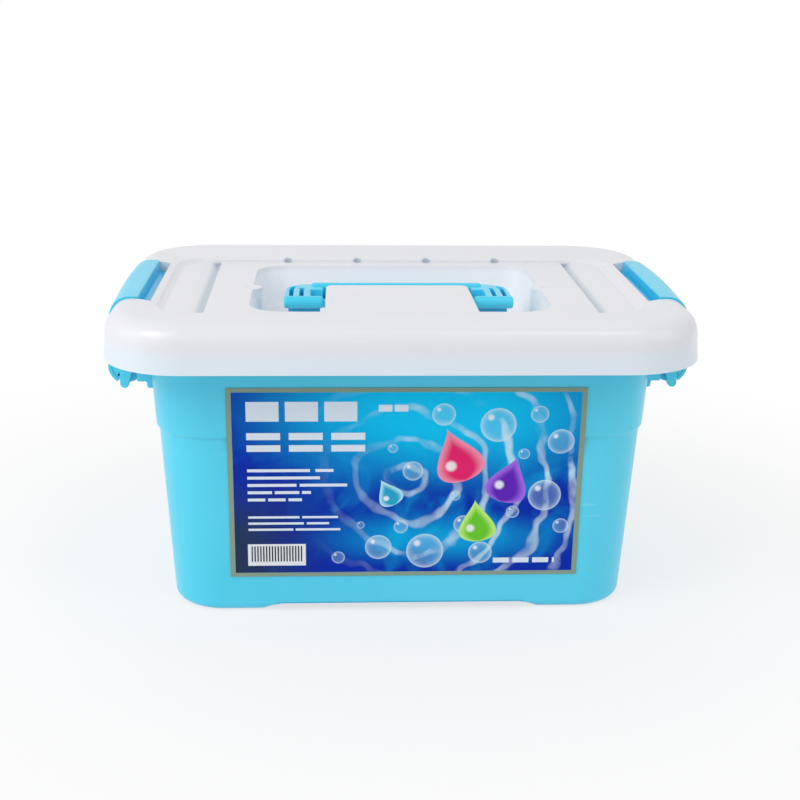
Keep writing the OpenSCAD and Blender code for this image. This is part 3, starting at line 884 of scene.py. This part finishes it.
# Bars: X, Z, half width, half height, pitch of the blocks and the share of it that is filled
BARS = (
    (-45.0, 34.5, 25.0, 4.6, 17.0, 0.84), (-6.0, 36.0, 6.5, 1.6, 7.0, 0.86),
    (-44.0, 23.0, 26.0, 1.7, 18.5, 0.80), (-44.0, 17.2, 26.0, 1.7, 18.5, 0.80),
    (-51.0, 6.5, 19.0, 0.75, 30.0, 0.92), (-54.0, 3.0, 16.0, 0.75, 40.0, 0.96),
    (-48.0, -0.5, 22.0, 0.75, 23.0, 0.94), (-56.0, -4.0, 14.0, 0.75, 12.0, 0.90),
    (-58.0, -7.5, 12.0, 0.75, 9.0, 0.86), (-50.0, -16.0, 20.0, 0.6, 24.0, 0.95),
    (-52.0, -19.0, 18.0, 0.6, 26.0, 0.95), (-49.0, -22.0, 21.0, 0.6, 21.0, 0.95),
    (54.0, -38.0, 14.0, 1.3, 9.0, 0.82),
)
# The patch of stripes: the pale ground and the stripes on it, both as bars
PATCH = (-57.5, -34.5, 13.0, 5.4, 99.0, 1.0)
STRIPES = (-57.5, -34.0, 11.4, 3.9, 1.3, 0.5)
# Width of the border at the sides, and at the top and bottom
BORDER_X, BORDER_Z = 1.7, 1.9
# The film: its thickness, how far its front is from the wall, and how far its ends reach past the node's
FILM_T, FILM_OUT, FILM_PAST = 0.25, 0.36, 0.5


def oval(tree, where, x, z, narrow_x, narrow_z):
    """Distance from a place on the label, with X and Z multiplied first, so that an oval is where it is 1."""
    away = vector(tree, "SUBTRACT", where, (x, 0.0, z))
    return vector(tree, "LENGTH", vector(tree, "MULTIPLY", away, (narrow_x, 0.0, narrow_z)))


def bar_mask(tree, where, x, z, half_x, half_z, pitch, fill):
    """Mask of one printed bar."""
    bar = {"Centre": (x, 0.0, z), "Half": (half_x, 0.0, half_z), "Pitch": pitch, "Fill": fill}
    return use(tree, printed_bar(), Vector=where, **bar)["Mask"]


def printed_sweep(tree, where, look):
    """The label's ground: two pools of light on deep blue, wave bands, a haze and a dark corner."""
    top = remap(tree, oval(tree, where, 16.0, 36.0, 0.0092, 0.0215), 1.0, 0.15, smooth=True)
    colour = blend(tree, top, look.deep, look.glow)
    foot = remap(tree, oval(tree, where, 16.0, -27.0, 0.0140, 0.060), 1.0, 0.0, 0.0, 0.6, smooth=True)
    colour = blend(tree, foot, colour, look.glow)
    x, _, z = split(tree, where)
    bent = {"Scale": 0.022, "Distortion": 7.0, "Detail": 3.0, "Detail Scale": 0.9, "Detail Roughness": 0.6}
    rings = {"wave_type": "RINGS", "rings_direction": "Y", "wave_profile": "SIN"}
    waves = place(tree, "TexWave", {"Vector": where, **bent}, **rings).outputs[1]
    veil = noise(tree, where, 0.035, 5.0, 1.4)
    bands = product(
        tree,
        remap(tree, waves, 0.80, 1.0, smooth=True),
        remap(tree, veil, 0.35, 0.7),
        remap(tree, x, -45.0, 25.0, smooth=True),
    )
    colour = blend(tree, bands, colour, (0.80, 0.94, 1.0))
    haze = remap(tree, veil, 0.45, 0.8, smooth=True)
    haze = product(tree, haze, remap(tree, x, -70.0, 10.0, 0.08, 0.45))
    colour = blend(tree, haze, colour, look.glow)
    corner = remap(tree, x, -25.0, -78.0, smooth=True)
    corner = product(tree, corner, remap(tree, z, 14.0, -30.0, smooth=True))
    return blend(tree, corner, colour, (0.020, 0.038, 0.075), 0.95)


def label_film():
    """Printed film: a blue colour sweep with light wave bands, bubbles, drops, plain bars and a border."""
    look = settings()[1]
    material, tree, shader = new_material("Printed label film")
    raw = place(tree, "TexCoord").outputs["Object"]
    # Millimetres from the label's middle, with its depth left out
    middle = (LABEL_LOW + LABEL_HIGH) / 2
    centred = {"Vector": raw, "Location": (-middle[0], 0.0, -middle[2]), "Scale": (1 / MM, 0.0, 1 / MM)}
    where = place(tree, "Mapping", centred).outputs[0]
    colour = printed_sweep(tree, where, look)
    for x, z, radius in BUBBLES:
        spot = use(tree, round_spot(), Vector=where, Centre=(x, 0.0, z), Radius=radius)
        for part, amount, tint in BUBBLE_TINTS:
            colour = blend(tree, spot[part], colour, tint, amount)
    for x, z, size, lean, dark, bright in DROPS:
        drop = use(tree, falling_drop(), Vector=where, Centre=(x, 0.0, z), Size=size, Lean=lean)
        fill = blend(tree, drop["Shade"], bright, dark)
        fill = blend(tree, drop["Shine"], fill, (1.0, 1.0, 1.0), 0.85)
        colour = blend(tree, drop["Mask"], colour, fill)
    for bar in BARS:
        colour = blend(tree, bar_mask(tree, where, *bar), colour, (0.86, 0.92, 0.97), 0.92)
    colour = blend(tree, bar_mask(tree, where, *PATCH), colour, (0.86, 0.87, 0.88))
    colour = blend(tree, bar_mask(tree, where, *STRIPES), colour, (0.03, 0.03, 0.05))
    half = (LABEL_HIGH - LABEL_LOW) / 2
    field = bar_mask(tree, where, 0.0, 0.0, half[0] - BORDER_X, half[2] - BORDER_Z, 999.0, 1.0)
    colour = blend(tree, field, look.border, colour)
    marked = use(tree, handling_marks(), Vector=raw, Amount=look.wear)
    grained = use(tree, moulded_grain(), Vector=raw, Grain=0.1, Ripple=0.8)
    gloss = calc(tree, "MULTIPLY_ADD", marked["Rub"], 0.2, 0.26)
    gleam = {"Specular_IOR_Level": 0.07, "Coat_Weight": 0.03, "Coat_Roughness": 0.12}
    dress(tree, shader, colour, gloss, (0.3, 0.0004, grained["Height"]), **gleam)
    return material


class OBJECT_OT_pod_tub_label(bpy.types.Operator):
    """Makes the printed label on the front of the tub"""

    bl_idname = "object.pod_tub_label"
    bl_label = "Label"

    def execute(self, context):
        x = np.linspace(LABEL_LOW[0] - FILM_PAST, LABEL_HIGH[0] + FILM_PAST, 40)
        z = np.linspace(LABEL_LOW[2], LABEL_HIGH[2], 80)
        xs, zs = np.meshgrid(x, z)
        ys = np.broadcast_to(film_face(z)[:, None] - FILM_OUT, xs.shape)
        sheet = Shell()
        sheet.grid(np.stack([xs, ys, zs], -1))
        made_of = {"solidify": FILM_T * MM, "facing": (0, -1, 0)}
        piece("label_sheet", sheet, "tub_body", "label_film", ["label"], **made_of)
        return {"FINISHED"}


# ------------------------------------------------------------------- lid

# Half the length of a latch's notch, and its section in X and Z
NOTCH_Y = 42.0
NOTCH = (
    (127.0, SKIRT_Z), (127.0, 125.8), (125.5, 127.3), (117.9, 127.3), (114.9, 130.3), (111.5, 130.3),
    (111.5, 134.0),
)
# Dimples along the deck's long edges, and the rows of the deck that are spread over them
DIMPLES = (-53.4, -17.8, 17.8, 53.4)
DIMPLE_R, DIMPLE_DEPTH = 2.2, 2.3
DECK_ROWS = 5
# Half width, half depth, corner radius and height: where the rolled rim's top starts and ends, and the deck
ROLL_TOP = np.array([117.2, 82.2, 23.2, CREST_Z])
ROLL_END = np.array([108.5, 61.0, 17.0, CREST_Z])
DECK = np.array([105.5, 60.0, 16.0, DECK_Z])
ROLL = 12.0
# How far the crest has fallen at the top's inner end, and the half width from which it falls
CREST_FALL, FALL_FROM = 2.0, 123.2
# The well: half width and half depth, radius of its corners and of its posts, and the plateau's half widths
# at the back and front, and where its back edge is
WELL_W, WELL_D, WELL_R, POST_R = 68.0, 50.5, 15.0, 5.0
PLATEAU_BACK, PLATEAU_FRONT, PLATEAU_Y = 33.8, 34.4, 4.0
# A groove's section in X and Z, half its length, and the small mark beside the well
GROOVE = np.array([(87.0, 134.0), (87.35, 133.85), (87.5, 133.5), (87.55, 132.0), (89.8, 132.0), (93.55, 134.0)])
GROOVE_Y = 58.2
MARK = np.array([(68.7, -0.45), (72.3, -0.45), (72.3, 0.45), (68.7, 0.45)])
MARK_DEPTH = 0.6
# The underside: the ring that centres the lid on the tub, as a ring of points, and the ribs in Y and Z
CENTRING = np.array([
    (109.07, 72.47, 20.0, 119.5), (109.07, 72.47, 20.0, 132.6),
    (107.07, 70.47, 18.0, 132.6), (107.07, 70.47, 18.0, 119.5),
])
RIB = ((71.5, 125.3, 0.0), (91.5, 125.3, 0.0), (90.2, 131.0, 0.0), (84.0, 135.6, 0.0), (71.5, 135.2, 0.0))
RIB_PLACES = (-72.0, -36.0, 0.0, 36.0, 72.0)


def lid_stations():
    """Places along the straight front and back of the lid: the dimples' rims and a few between them."""
    round_rim = (DIMPLE_R + 0.05) * np.cos(np.radians(np.linspace(180, 0, 13)))
    rims = [centre + round_rim for centre in DIMPLES if centre > 0]
    return np.unique(np.concatenate([[0.0, 8.0, 28.0, 40.0, 62.0, 75.0, 88.0], *rims]))


def lid_rings():
    """Rings of the lid from the skirt's lower edge over the rolled rim and down to the deck.

    The crest falls with the square of the distance in from where it starts to fall.
    """
    rings = [[HALF_W, HALF_D, 36.0, SKIRT_Z]]
    rings += [ROLL_TOP + (c, c, c, s - ROLL) for c, s in squared_arc((0.0, 0.0), (ROLL, ROLL), 14)]
    for width in (114.4, 111.5, ROLL_END[0]):
        share = (ROLL_TOP[0] - width) / (ROLL_TOP[0] - ROLL_END[0])
        rings.append(ROLL_TOP + (ROLL_END - ROLL_TOP) * share)
    rings = np.array(rings)
    fallen = np.maximum(FALL_FROM - rings[:, 0], 0) / (FALL_FROM - ROLL_END[0])
    rings[:, 3] -= CREST_FALL * fallen**2
    inner = soften([rings[-2], rings[-1], [107.5, 60.0, 16.0, 135.0], DECK], [1.2, 0.4])[1:-1]
    wall = inner[-1] + (DECK - inner[-1]) * np.linspace(0.0, 1.0, 6)[1:, None]
    deck = DECK - np.linspace(0.0, 1.0, DECK_ROWS + 1)[1:, None] * [1.0, 1.0, 1.0, 0.0]
    return np.vstack([rings[:-1], inner, wall, deck])


def notched(rim):
    """The lid's columns with five more at each end, of which the middle three have the notch's section."""
    notch = soften(NOTCH, [0.5, 0.5, 0.5, 0.5, 0.4], 2)
    x, y = rim[0, :, 0], rim[0, :, 1]
    lasts = np.flatnonzero((x > 0) & (y < 0))[-1], np.flatnonzero((x < 0) & (y > 0))[-1]
    ends = []
    for last, sign in zip(lasts, (1.0, -1.0)):
        end = np.repeat(rim[:, last][:, None], 5, 1)
        end[..., 1] = sign * np.array([-NOTCH_Y, -NOTCH_Y, 0.0, NOTCH_Y, NOTCH_Y])
        end[: len(notch), 1:4, 0] = sign * notch[:, :1]
        end[: len(notch), 1:4, 2] = notch[:, 1:]
        ends.append(end)
    first, second = (last + 1 for last in lasts)
    return np.concatenate([rim[:, :first], ends[0], rim[:, first:second], ends[1], rim[:, second:]], 1)


def dimpled(rim):
    """The lid's columns with the dimples pushed in.

    The rows of the deck spread over a disc round each centre. Then all within the radius is pushed outwards and
    down by the depth times the root of one less the squared share of the radius.
    """
    nearest = np.min(np.abs(rim[..., 0][None] - np.array(DIMPLES)[:, None, None]), 0)
    side = np.copysign(1.0, rim[..., 1])
    straight = np.abs(rim[..., 1]) > DECK[1] - 5.0
    reach = (np.sqrt(np.maximum(DIMPLE_R**2 - nearest**2, 0)) * straight)[-DECK_ROWS:]
    spread = np.maximum(reach + 0.1, 1.0) * np.linspace(0, 1, DECK_ROWS + 1)[1:, None]
    rows = rim[-DECK_ROWS:, :, 1]
    rows[:] = np.where(reach > 0, side[-DECK_ROWS:] * (DECK[1] - spread), rows)
    away = np.sqrt(nearest**2 + (np.abs(rim[..., 1]) - DECK[1]) ** 2 + (rim[..., 2] - DECK_Z) ** 2)
    push = DIMPLE_DEPTH * np.sqrt(np.maximum(1 - (away / DIMPLE_R) ** 2, 0)) * straight
    push[-1] = 0
    rim[..., 1] += side * push * math.sqrt(0.5)
    rim[..., 2] -= push * math.sqrt(0.5)
    return rim


def well_outline():
    """The well's outline at the deck, the way out at each point, and how far it leans inwards with depth.

    The right half goes from the back edge of the plateau round the front, side and back, and the left half
    mirrors it. Beside a post the side has extra points, and on the plateau nothing leans.
    """
    corners = [(0.0, PLATEAU_Y, 0.0), (PLATEAU_BACK, PLATEAU_Y, 4.0)]
    corners += [(PLATEAU_FRONT, -WELL_D, 0.0), (WELL_W, -WELL_D, WELL_R)]
    corners += [(WELL_W, y, 0.0) for y in POST_R * np.sin(np.radians(np.linspace(-86, 86, 13)))]
    corners += [(WELL_W, WELL_D, WELL_R), (0.0, WELL_D, 0.0)]
    closed = corners + [(-x, y, r) for x, y, r in corners[::-1]][1:-1]
    points, ways = outline(closed, 8)
    lean = -ways
    x, y = np.abs(points[:, 0]), points[:, 1]
    lean[(x < PLATEAU_FRONT) & (y > 0.1 - WELL_D) & (y < PLATEAU_Y + 0.01)] = 0.0
    lean[(np.abs(x - PLATEAU_FRONT) < 0.01) & (y < 0.1 - WELL_D)] = (0.0, 1.0)
    return points, ways, lean


def well_points(edge):
    """Well walls: outline plus way out times the edge rounding, plus lean times the draft and floor's rounding.

    Beside a post, X is held back to the post's circle.
    """
    points, ways, lean = well_outline()
    a = np.radians([0, 30, 60, 90])
    rounding = np.stack([edge * (1 - np.sin(a)), 0 * a, DECK_Z - edge * (1 - np.cos(a))], -1)
    foot = soften([(0.0, DECK_Z - edge), (5.0, WELL_FLOOR_Z), (9.5, WELL_FLOOR_Z)], [4.0], 8)
    wide, deep, z = np.vstack([rounding, np.column_stack([np.zeros(len(foot)), foot])]).T
    xy = points[None] + wide[:, None, None] * ways[None] + deep[:, None, None] * lean[None]
    square = (POST_R - wide[:, None]) ** 2 - points[None, :, 1] ** 2
    beside = (square > 0) & (np.abs(points[None, :, 0]) > WELL_W - 8.0)
    post = np.where(beside, WELL_W + 1.0 - np.sqrt(np.maximum(square, 0)), np.inf)
    xy[..., 0] = np.copysign(np.minimum(np.abs(xy[..., 0]), post), xy[..., 0])
    return rows_at(xy, z)


class OBJECT_OT_pod_tub_lid(bpy.types.Operator):
    """Makes the lid: rolled rim, latch notches, sunk deck with grooves and dimples, and the handle well"""

    bl_idname = "object.pod_tub_lid"
    bl_label = "Lid"

    def execute(self, context):
        sizes = settings()[0]
        rim = dimpled(notched(ring_points(lid_rings(), lid_stations(), sizes.corner_steps)))
        well = well_points(sizes.edge / MM)
        shell = Shell(lift=LIFT)
        shell.grid(rim, (False, True))
        shell.grid(well, (False, True))
        shell.plate([well[-1]], WELL_FLOOR_Z)
        holes = [well[0]]
        run = np.array([-GROOVE_Y, GROOVE_Y])
        for sign in (1.0, -1.0):
            # A groove's section is carried along Y, and closed by its own outline at both ends
            section = GROOVE * [sign, 1.0]
            strip = rows_at(np.repeat(section[None], 2, 0), run).swapaxes(0, 1)
            shell.grid(strip, axes=(0, 2, 1))
            for end in run:
                shell.plate([section], end, (0, 2, 1))
            (near, _), (far, _) = section[0], section[-1]
            holes.append(np.array([(near, -GROOVE_Y), (far, -GROOVE_Y), (far, GROOVE_Y), (near, GROOVE_Y)]))
            mark = MARK * [sign, 1.0]
            shell.grid(rows_at(np.repeat(mark[None], 2, 0), [DECK_Z, DECK_Z - MARK_DEPTH]), (False, True))
            shell.plate([mark], DECK_Z - MARK_DEPTH)
            holes.append(mark)
        shell.plate([rim[-1]] + holes, DECK_Z)
        made_of = {"solidify": sizes.lid_sheet, "facing": (0, 0, 1)}
        piece("lid_shell", shell, "lid_body", "lid_plastic", ["lid"], **made_of)
        under = Shell(lift=LIFT)
        under.grid(ring_points(CENTRING, [0.0, 40.0, 80.0], 12), (True, True))
        points, ways = outline(RIB)
        for middle in RIB_PLACES:
            for sign in (1.0, -1.0):
                rib = (points * [sign, 1.0], ways * [sign, 1.0])
                under.block(rib, middle - 1.0, middle + 1.0, (0.25, 0.25), axes=(1, 2, 0))
        piece("lid_underside_ribs", under, "lid_body", "lid_plastic")
        return {"FINISHED"}


# ---------------------------------------------------------------- handle

# Outer and inner sides of the arms, where the arms' lower part starts, and the grip's front and back
OUT_X, IN_X, SET_BACK = 53.2, 35.2, -12.0
GRIP_FRONT, GRIP_BACK = 5.2, 10.6
# The pockets in the arms' inner sides: how far out they reach, and their front and back
POCKET_X, POCKET_FRONT, POCKET_BACK = 41.0, -16.75, -0.75
# Radii of the round fronts of the arms, and of the pins
ROLL_FRONT_R, HANDLE_PIN_R = 2.9, 2.0


def mirrored(*half, steps):
    """A closed outline from the corners of its right half, with the same corners mirrored to the left."""
    return outline([(-x, y, r) for x, y, r in half[::-1]] + list(half), steps)


def slots():
    """The four slots through the arms: each goes straight back and then follows a turn of 35 degrees."""
    holes = []
    for outer_x in (51.0, 46.2):
        centre, width = (41.6, 0.2), 1.8
        radius = outer_x - centre[0]
        turn = arc(centre, radius, 0, 35, 8)
        back = arc(centre, radius - width, 35, 0, 8)
        slot = np.vstack([[(outer_x, POCKET_FRONT)], turn, back, [(outer_x - width, POCKET_FRONT)]])
        corners = np.column_stack([slot, np.zeros(len(slot))])
        holes += [outline(corners), outline((corners * [-1.0, 1.0, 1.0])[::-1])]
    return holes


class OBJECT_OT_pod_tub_handle(bpy.types.Operator):
    """Makes the folding carrying handle with its slotted arms, grip and pins"""

    bl_idname = "object.pod_tub_handle"
    bl_label = "Handle"

    def execute(self, context):
        edge = settings()[0].edge / MM
        pivot_y, pivot_z = PIVOT
        shell = Shell(lift=LIFT)
        bow = ((OUT_X, SET_BACK, 0.0), (OUT_X - 0.6, GRIP_BACK, 11.0))
        plan = mirrored((IN_X, GRIP_FRONT, 1.0), (IN_X, SET_BACK, 0.0), *bow, steps=10)
        upper = mirrored(
            (IN_X, GRIP_FRONT, 1.0), (IN_X, POCKET_BACK, 0.7), (POCKET_X, POCKET_BACK, 0.8),
            (POCKET_X, POCKET_FRONT, 0.8), (IN_X, POCKET_FRONT, 0.7), (IN_X, pivot_y, 0.0),
            (OUT_X, pivot_y, 0.0), bow[1], steps=10,
        )
        keel_y = SET_BACK + 1.0
        keel = mirrored((36.7, 6.7, 0.8), (36.7, keel_y, 0.0), (51.5, keel_y, 0.0), (51.5, 8.7, 9.0), steps=8)
        grip = mirrored((41.6, GRIP_FRONT, 1.4), (41.6, 10.2, 1.4), steps=4)
        crown = mirrored((41.0, 5.5, 2.2), (41.0, 9.9, 2.2), steps=6)
        shell.block(plan, 126.8, 128.6, (edge, 0.0))
        shell.block(upper, 128.5, 133.0, (0.0, edge), holes=slots())
        shell.block(keel, 123.3, 127.3, (edge, 0.0))
        shell.block(grip, 122.8, 128.0, (1.2, 0.0))
        shell.block(crown, 130.0, 134.2, (0.0, 1.4))
        for low, high in ((IN_X, OUT_X), (-OUT_X, -IN_X)):
            shell.rod((pivot_y - 0.6, pivot_z + 0.6), ROLL_FRONT_R, low, high, 1.2, 40, (1, 2, 0))
        for low, high in ((31.0, 36.0), (-36.0, -31.0)):
            shell.rod(PIVOT, HANDLE_PIN_R, low, high, 0.3, 28, (1, 2, 0))
        piece("carrying_handle", shell, "handle_body", "fitting_plastic", ["handle"])
        return {"FINISHED"}


# --------------------------------------------------------------- latches

# Radius and thickness of the curl round the hinge, and the angle in degrees where it ends
CURL_R, CURL_T, CURL_END = 8.6, 2.0, -57
# The lip, the recess and the hook in X and Z, and the belly under them
HOOK = (
    (117.9, 138.6), (117.3, 138.4), (117.0, 137.9), (116.6, 133.9), (116.2, 133.2), (115.5, 132.9),
    (112.8, 132.3), (112.35, 131.9), (112.3, 131.3), (112.7, 130.8),
)
BELLY = ((116.8, 131.2), (118.2, 131.9), (118.7, 133.2), (119.2, 136.2))
# The back: X of its outside, height where its squared quarter starts, and how far that rises
BACK_X, BACK_Z, BACK_RISE = 130.6, 126.0, 12.6
# Where the flat crest ends: X at the latch's ends, how much further out at most, at what Y, and within what reach
CREST_X, CREST_MORE, CREST_Y, CREST_REACH = 119.2, 5.2, 4.0, 50.0
# Round the hinge: radius and thickness of the cheeks, radii of barrel and pin, and the web, along and across the
# curl's end, that joins curl and barrel
CHEEK_R, CHEEK_T, BARREL_R, PIN_R = 7.4, 1.6, 2.5, 1.2
WEB = ((0.0, 0.0), (6.4, 0.0), (6.4, 2.0), (0.0, 2.0))


def latch_sections(y):
    """Closed section of the latch band in X and Z at each Y.

    The back goes from the hinge curl up a squared quarter to a flat crest, whose width is widest near the middle
    and falls with the square of the distance. A lip, a recess and a hook end it, and the belly follows inside.
    """
    crest = CREST_X + CREST_MORE * np.maximum(1 - ((y - CREST_Y) / CREST_REACH) ** 2, 0)
    sections = []
    for edge_x in crest:
        middle, reach = (edge_x, BACK_Z), np.array([BACK_X - edge_x, BACK_RISE])
        parts = [
            arc(HINGE, CURL_R, CURL_END, 0, 12),
            squared_arc(middle, reach, 18, 2.3),
            HOOK,
            BELLY,
            squared_arc(middle, reach - CURL_T, 18, 2.3)[::-1],
            arc(HINGE, CURL_R - CURL_T, 0, CURL_END, 12),
        ]
        sections.append(np.vstack(parts))
    return np.array(sections)


class OBJECT_OT_pod_tub_latches(bpy.types.Operator):
    """Makes the two hooked latches with their hinge barrels and pins"""

    bl_idname = "object.pod_tub_latches"
    bl_label = "Latches"

    def execute(self, context):
        y = np.linspace(-LATCH_HALF, LATCH_HALF, 33)
        bands = latch_sections(y)
        turn = math.radians(CURL_END)
        way, across = np.array([(math.cos(turn), math.sin(turn)), (-math.sin(turn), math.cos(turn))])
        web = outline([(*(HINGE + way * a + across * b), 0.0) for a, b in WEB])
        for side, mirror in (("right", False), ("left", True)):
            shell = Shell((0, 2, 1), LIFT)
            shell.grid(rows_at(bands, y), (False, True))
            for index, cheek in ((0, (y[0], y[0] + CHEEK_T)), (-1, (y[-1] - CHEEK_T, y[-1]))):
                shell.plate([bands[index]], y[index])
                shell.rod(HINGE, CHEEK_R, *cheek, 0.4, 36)
            shell.block(web, y[0], y[-1], (0.4, 0.4))
            shell.rod(HINGE, BARREL_R, y[0], y[-1], 0.4)
            shell.rod(HINGE, PIN_R, -EAR_OUT, EAR_OUT, 0.2, 24)
            rides = (f"latch_{side}_body", "fitting_plastic", [f"latch_{side}"])
            piece(f"latch_band_{side}", shell, *rides, bevel=0.35 * MM, mirror=mirror)
        return {"FINISHED"}


# ---------------------------------------------------------------- studio

# Name, place, side length, setting of its power, share of that, colour, and whether gloss mirrors it
LIGHTS = (
    ("Main light", (-0.95, -0.70, 1.10), 0.8, "key_power", 1.0, (1.0, 0.99, 0.985), True),
    ("Fill light", (1.05, -0.45, 0.65), 0.8, "fill_power", 1.0, (0.95, 0.975, 1.0), True),
    ("Back light", (-0.10, 1.15, 0.85), 0.9, "fill_power", 1.0, (1.0, 1.0, 1.0), False),
    ("Top light", (0.32, -0.62, 1.20), 0.3, "fill_power", 0.5, (1.0, 1.0, 1.0), True),
    ("Side light", (-1.05, -0.25, 0.28), 0.7, "fill_power", 0.65, (1.0, 1.0, 1.0), True),
)
LIT_POINT = (0, 0, 0.07)
# The camera: place, turns in degrees down, to the right and about its view, and its sensor and lens
CAMERA_PLACE = (-0.0323, -0.65075, 0.2766 + LIFT * MM)
CAMERA_DOWN, CAMERA_RIGHT, CAMERA_ROLL = 16.98, 3.02, 0.73
SENSOR = 36.0
LENS = 1395.5 * SENSOR / 800.0
# The floor: radii of its rings, and from and to where it turns white to the eye, from how white a start
FLOOR_RINGS = (0.0, 0.2, 0.4, 0.8, 1.6, 3.2)
FLOOR_FROM, FLOOR_TO, FLOOR_WHITE = 0.10, 0.42, 0.70


def soft_light(name, at, size, power, colour, glossy):
    """A square soft light that points at the tub's middle."""
    data = bpy.data.lights.new(name, "AREA")
    data.energy = power
    data.size = size
    data.color = colour
    obj = bpy.data.objects.new(name, data)
    bpy.context.scene.collection.objects.link(obj)
    obj.location = at
    obj.rotation_euler = (Vector(LIT_POINT) - Vector(at)).to_track_quat("-Z", "Y").to_euler()
    obj.visible_glossy = glossy


def studio_camera():
    """Camera at the place and with the turns that were fitted to the photograph."""
    data = bpy.data.cameras.new("Camera")
    data.sensor_width = SENSOR
    data.lens = LENS
    data.clip_start, data.clip_end = 0.01, 50.0
    camera = bpy.data.objects.new("Camera", data)
    bpy.context.scene.collection.objects.link(camera)
    down, yaw, roll = (math.radians(a) for a in (CAMERA_DOWN, CAMERA_RIGHT, CAMERA_ROLL))
    ahead = Vector((math.sin(yaw) * math.cos(down), math.cos(yaw) * math.cos(down), -math.sin(down)))
    right = Vector((math.cos(yaw), -math.sin(yaw), 0.0))
    up = right.cross(ahead)
    right_rolled = right * math.cos(roll) + up * math.sin(roll)
    up_rolled = up * math.cos(roll) - right * math.sin(roll)
    turn = Matrix((right_rolled, up_rolled, -ahead)).transposed()
    camera.matrix_world = Matrix.Translation(CAMERA_PLACE) @ turn.to_4x4()
    bpy.context.scene.camera = camera


def studio_floor():
    """Floor: pale and matt near the tub so that it takes the shadow, and white to the eye further off."""
    a = np.linspace(0, 2 * np.pi, 65)[:-1]
    r = np.array(FLOOR_RINGS)[:, None] / MM
    ground = Shell()
    ground.grid(rows_at(np.stack([r * np.cos(a), r * np.sin(a)], -1), np.zeros(len(r))), (False, True))
    mesh = ground.mesh("Floor", facing=(0, 0, 1))
    floor = bpy.data.objects.new("Floor", mesh)
    bpy.context.scene.collection.objects.link(floor)
    floor.location.z = -0.0002
    material = bpy.data.materials.new("Pale floor")
    material.use_nodes = True
    tree = material.node_tree
    tree.nodes.clear()
    away = vector(tree, "LENGTH", place(tree, "TexCoord").outputs["Object"])
    path = place(tree, "LightPath").outputs
    seen = calc(tree, "MAXIMUM", path["Is Camera Ray"], path["Is Glossy Ray"])
    share = product(tree, seen, remap(tree, away, FLOOR_FROM, FLOOR_TO, FLOOR_WHITE, 1.0, smooth=True))
    matt = place(tree, "BsdfDiffuse", {"Color": (0.86, 0.86, 0.87, 1.0)}).outputs[0]
    white = place(tree, "Emission", {"Color": (1, 1, 1, 1), "Strength": 1.0}).outputs[0]
    place(tree, "OutputMaterial", {0: place(tree, "MixShader", {0: share, 1: matt, 2: white}).outputs[0]})
    mesh.materials.append(material)


def white_room(studio):
    """World that is white to the camera, and has its own strengths for light and for reflections."""
    world = bpy.data.worlds.new("White room")
    world.use_nodes = True
    bpy.context.scene.world = world
    tree = world.node_tree
    tree.nodes.clear()
    path = place(tree, "LightPath").outputs
    seen = calc(tree, "MAXIMUM", path["Is Camera Ray"], path["Is Transmission Ray"])
    strength = remap(tree, path["Is Glossy Ray"], 0.0, 1.0, studio.sky, studio.mirrored)
    strength = calc(tree, "MAXIMUM", strength, seen)
    glow = place(tree, "Background", {"Color": (1, 1, 1, 1), "Strength": strength}).outputs[0]
    place(tree, "OutputWorld", {0: glow})


class OBJECT_OT_pod_tub_studio(bpy.types.Operator):
    """Makes the camera, the pale floor, the soft lights and the white surroundings"""

    bl_idname = "object.pod_tub_studio"
    bl_label = "Studio"

    def execute(self, context):
        studio = settings()[2]
        context.scene.view_settings.view_transform = "Standard"
        studio_camera()
        for name, at, size, setting, share, colour, glossy in LIGHTS:
            soft_light(name, at, size, getattr(studio, setting) * share, colour, glossy)
        studio_floor()
        white_room(studio)
        return {"FINISHED"}


# ----------------------------------------------------------------- panel

MAKERS = (
    OBJECT_OT_pod_tub_studio,
    OBJECT_OT_pod_tub_shell,
    OBJECT_OT_pod_tub_label,
    OBJECT_OT_pod_tub_lid,
    OBJECT_OT_pod_tub_handle,
    OBJECT_OT_pod_tub_latches,
)


class VIEW3D_PT_pod_tub(bpy.types.Panel):
    """Sidebar panel with the tub's settings and its makers"""

    bl_label = "Laundry pod tub"
    bl_idname = "VIEW3D_PT_pod_tub"
    bl_space_type = "VIEW_3D"
    bl_region_type = "UI"
    bl_category = "Pod tub"

    def draw(self, context):
        for title, group in zip(("Sizes", "Finish", "Studio"), settings()):
            box = self.layout.box()
            box.label(text=title)
            for key in group.__annotations__:
                box.prop(group, key)
        column = self.layout.column(align=True)
        for maker in MAKERS:
            column.operator(maker.bl_idname)


CLASSES = (TubSizes, TubFinish, TubStudio, *MAKERS, VIEW3D_PT_pod_tub)


def register():
    for cls in CLASSES:
        bpy.utils.register_class(cls)
    bpy.types.Scene.tub_sizes = PointerProperty(type=TubSizes)
    bpy.types.Scene.tub_finish = PointerProperty(type=TubFinish)
    bpy.types.Scene.tub_studio = PointerProperty(type=TubStudio)


def unregister():
    del bpy.types.Scene.tub_studio
    del bpy.types.Scene.tub_finish
    del bpy.types.Scene.tub_sizes
    for cls in reversed(CLASSES):
        bpy.utils.unregister_class(cls)


def main():
    register()
    bpy.ops.object.pod_tub_studio()
    bpy.ops.object.pod_tub_shell()
    bpy.ops.object.pod_tub_label()
    bpy.ops.object.pod_tub_lid()
    bpy.ops.object.pod_tub_handle()
    bpy.ops.object.pod_tub_latches()


if __name__ == "__main__":
    main()
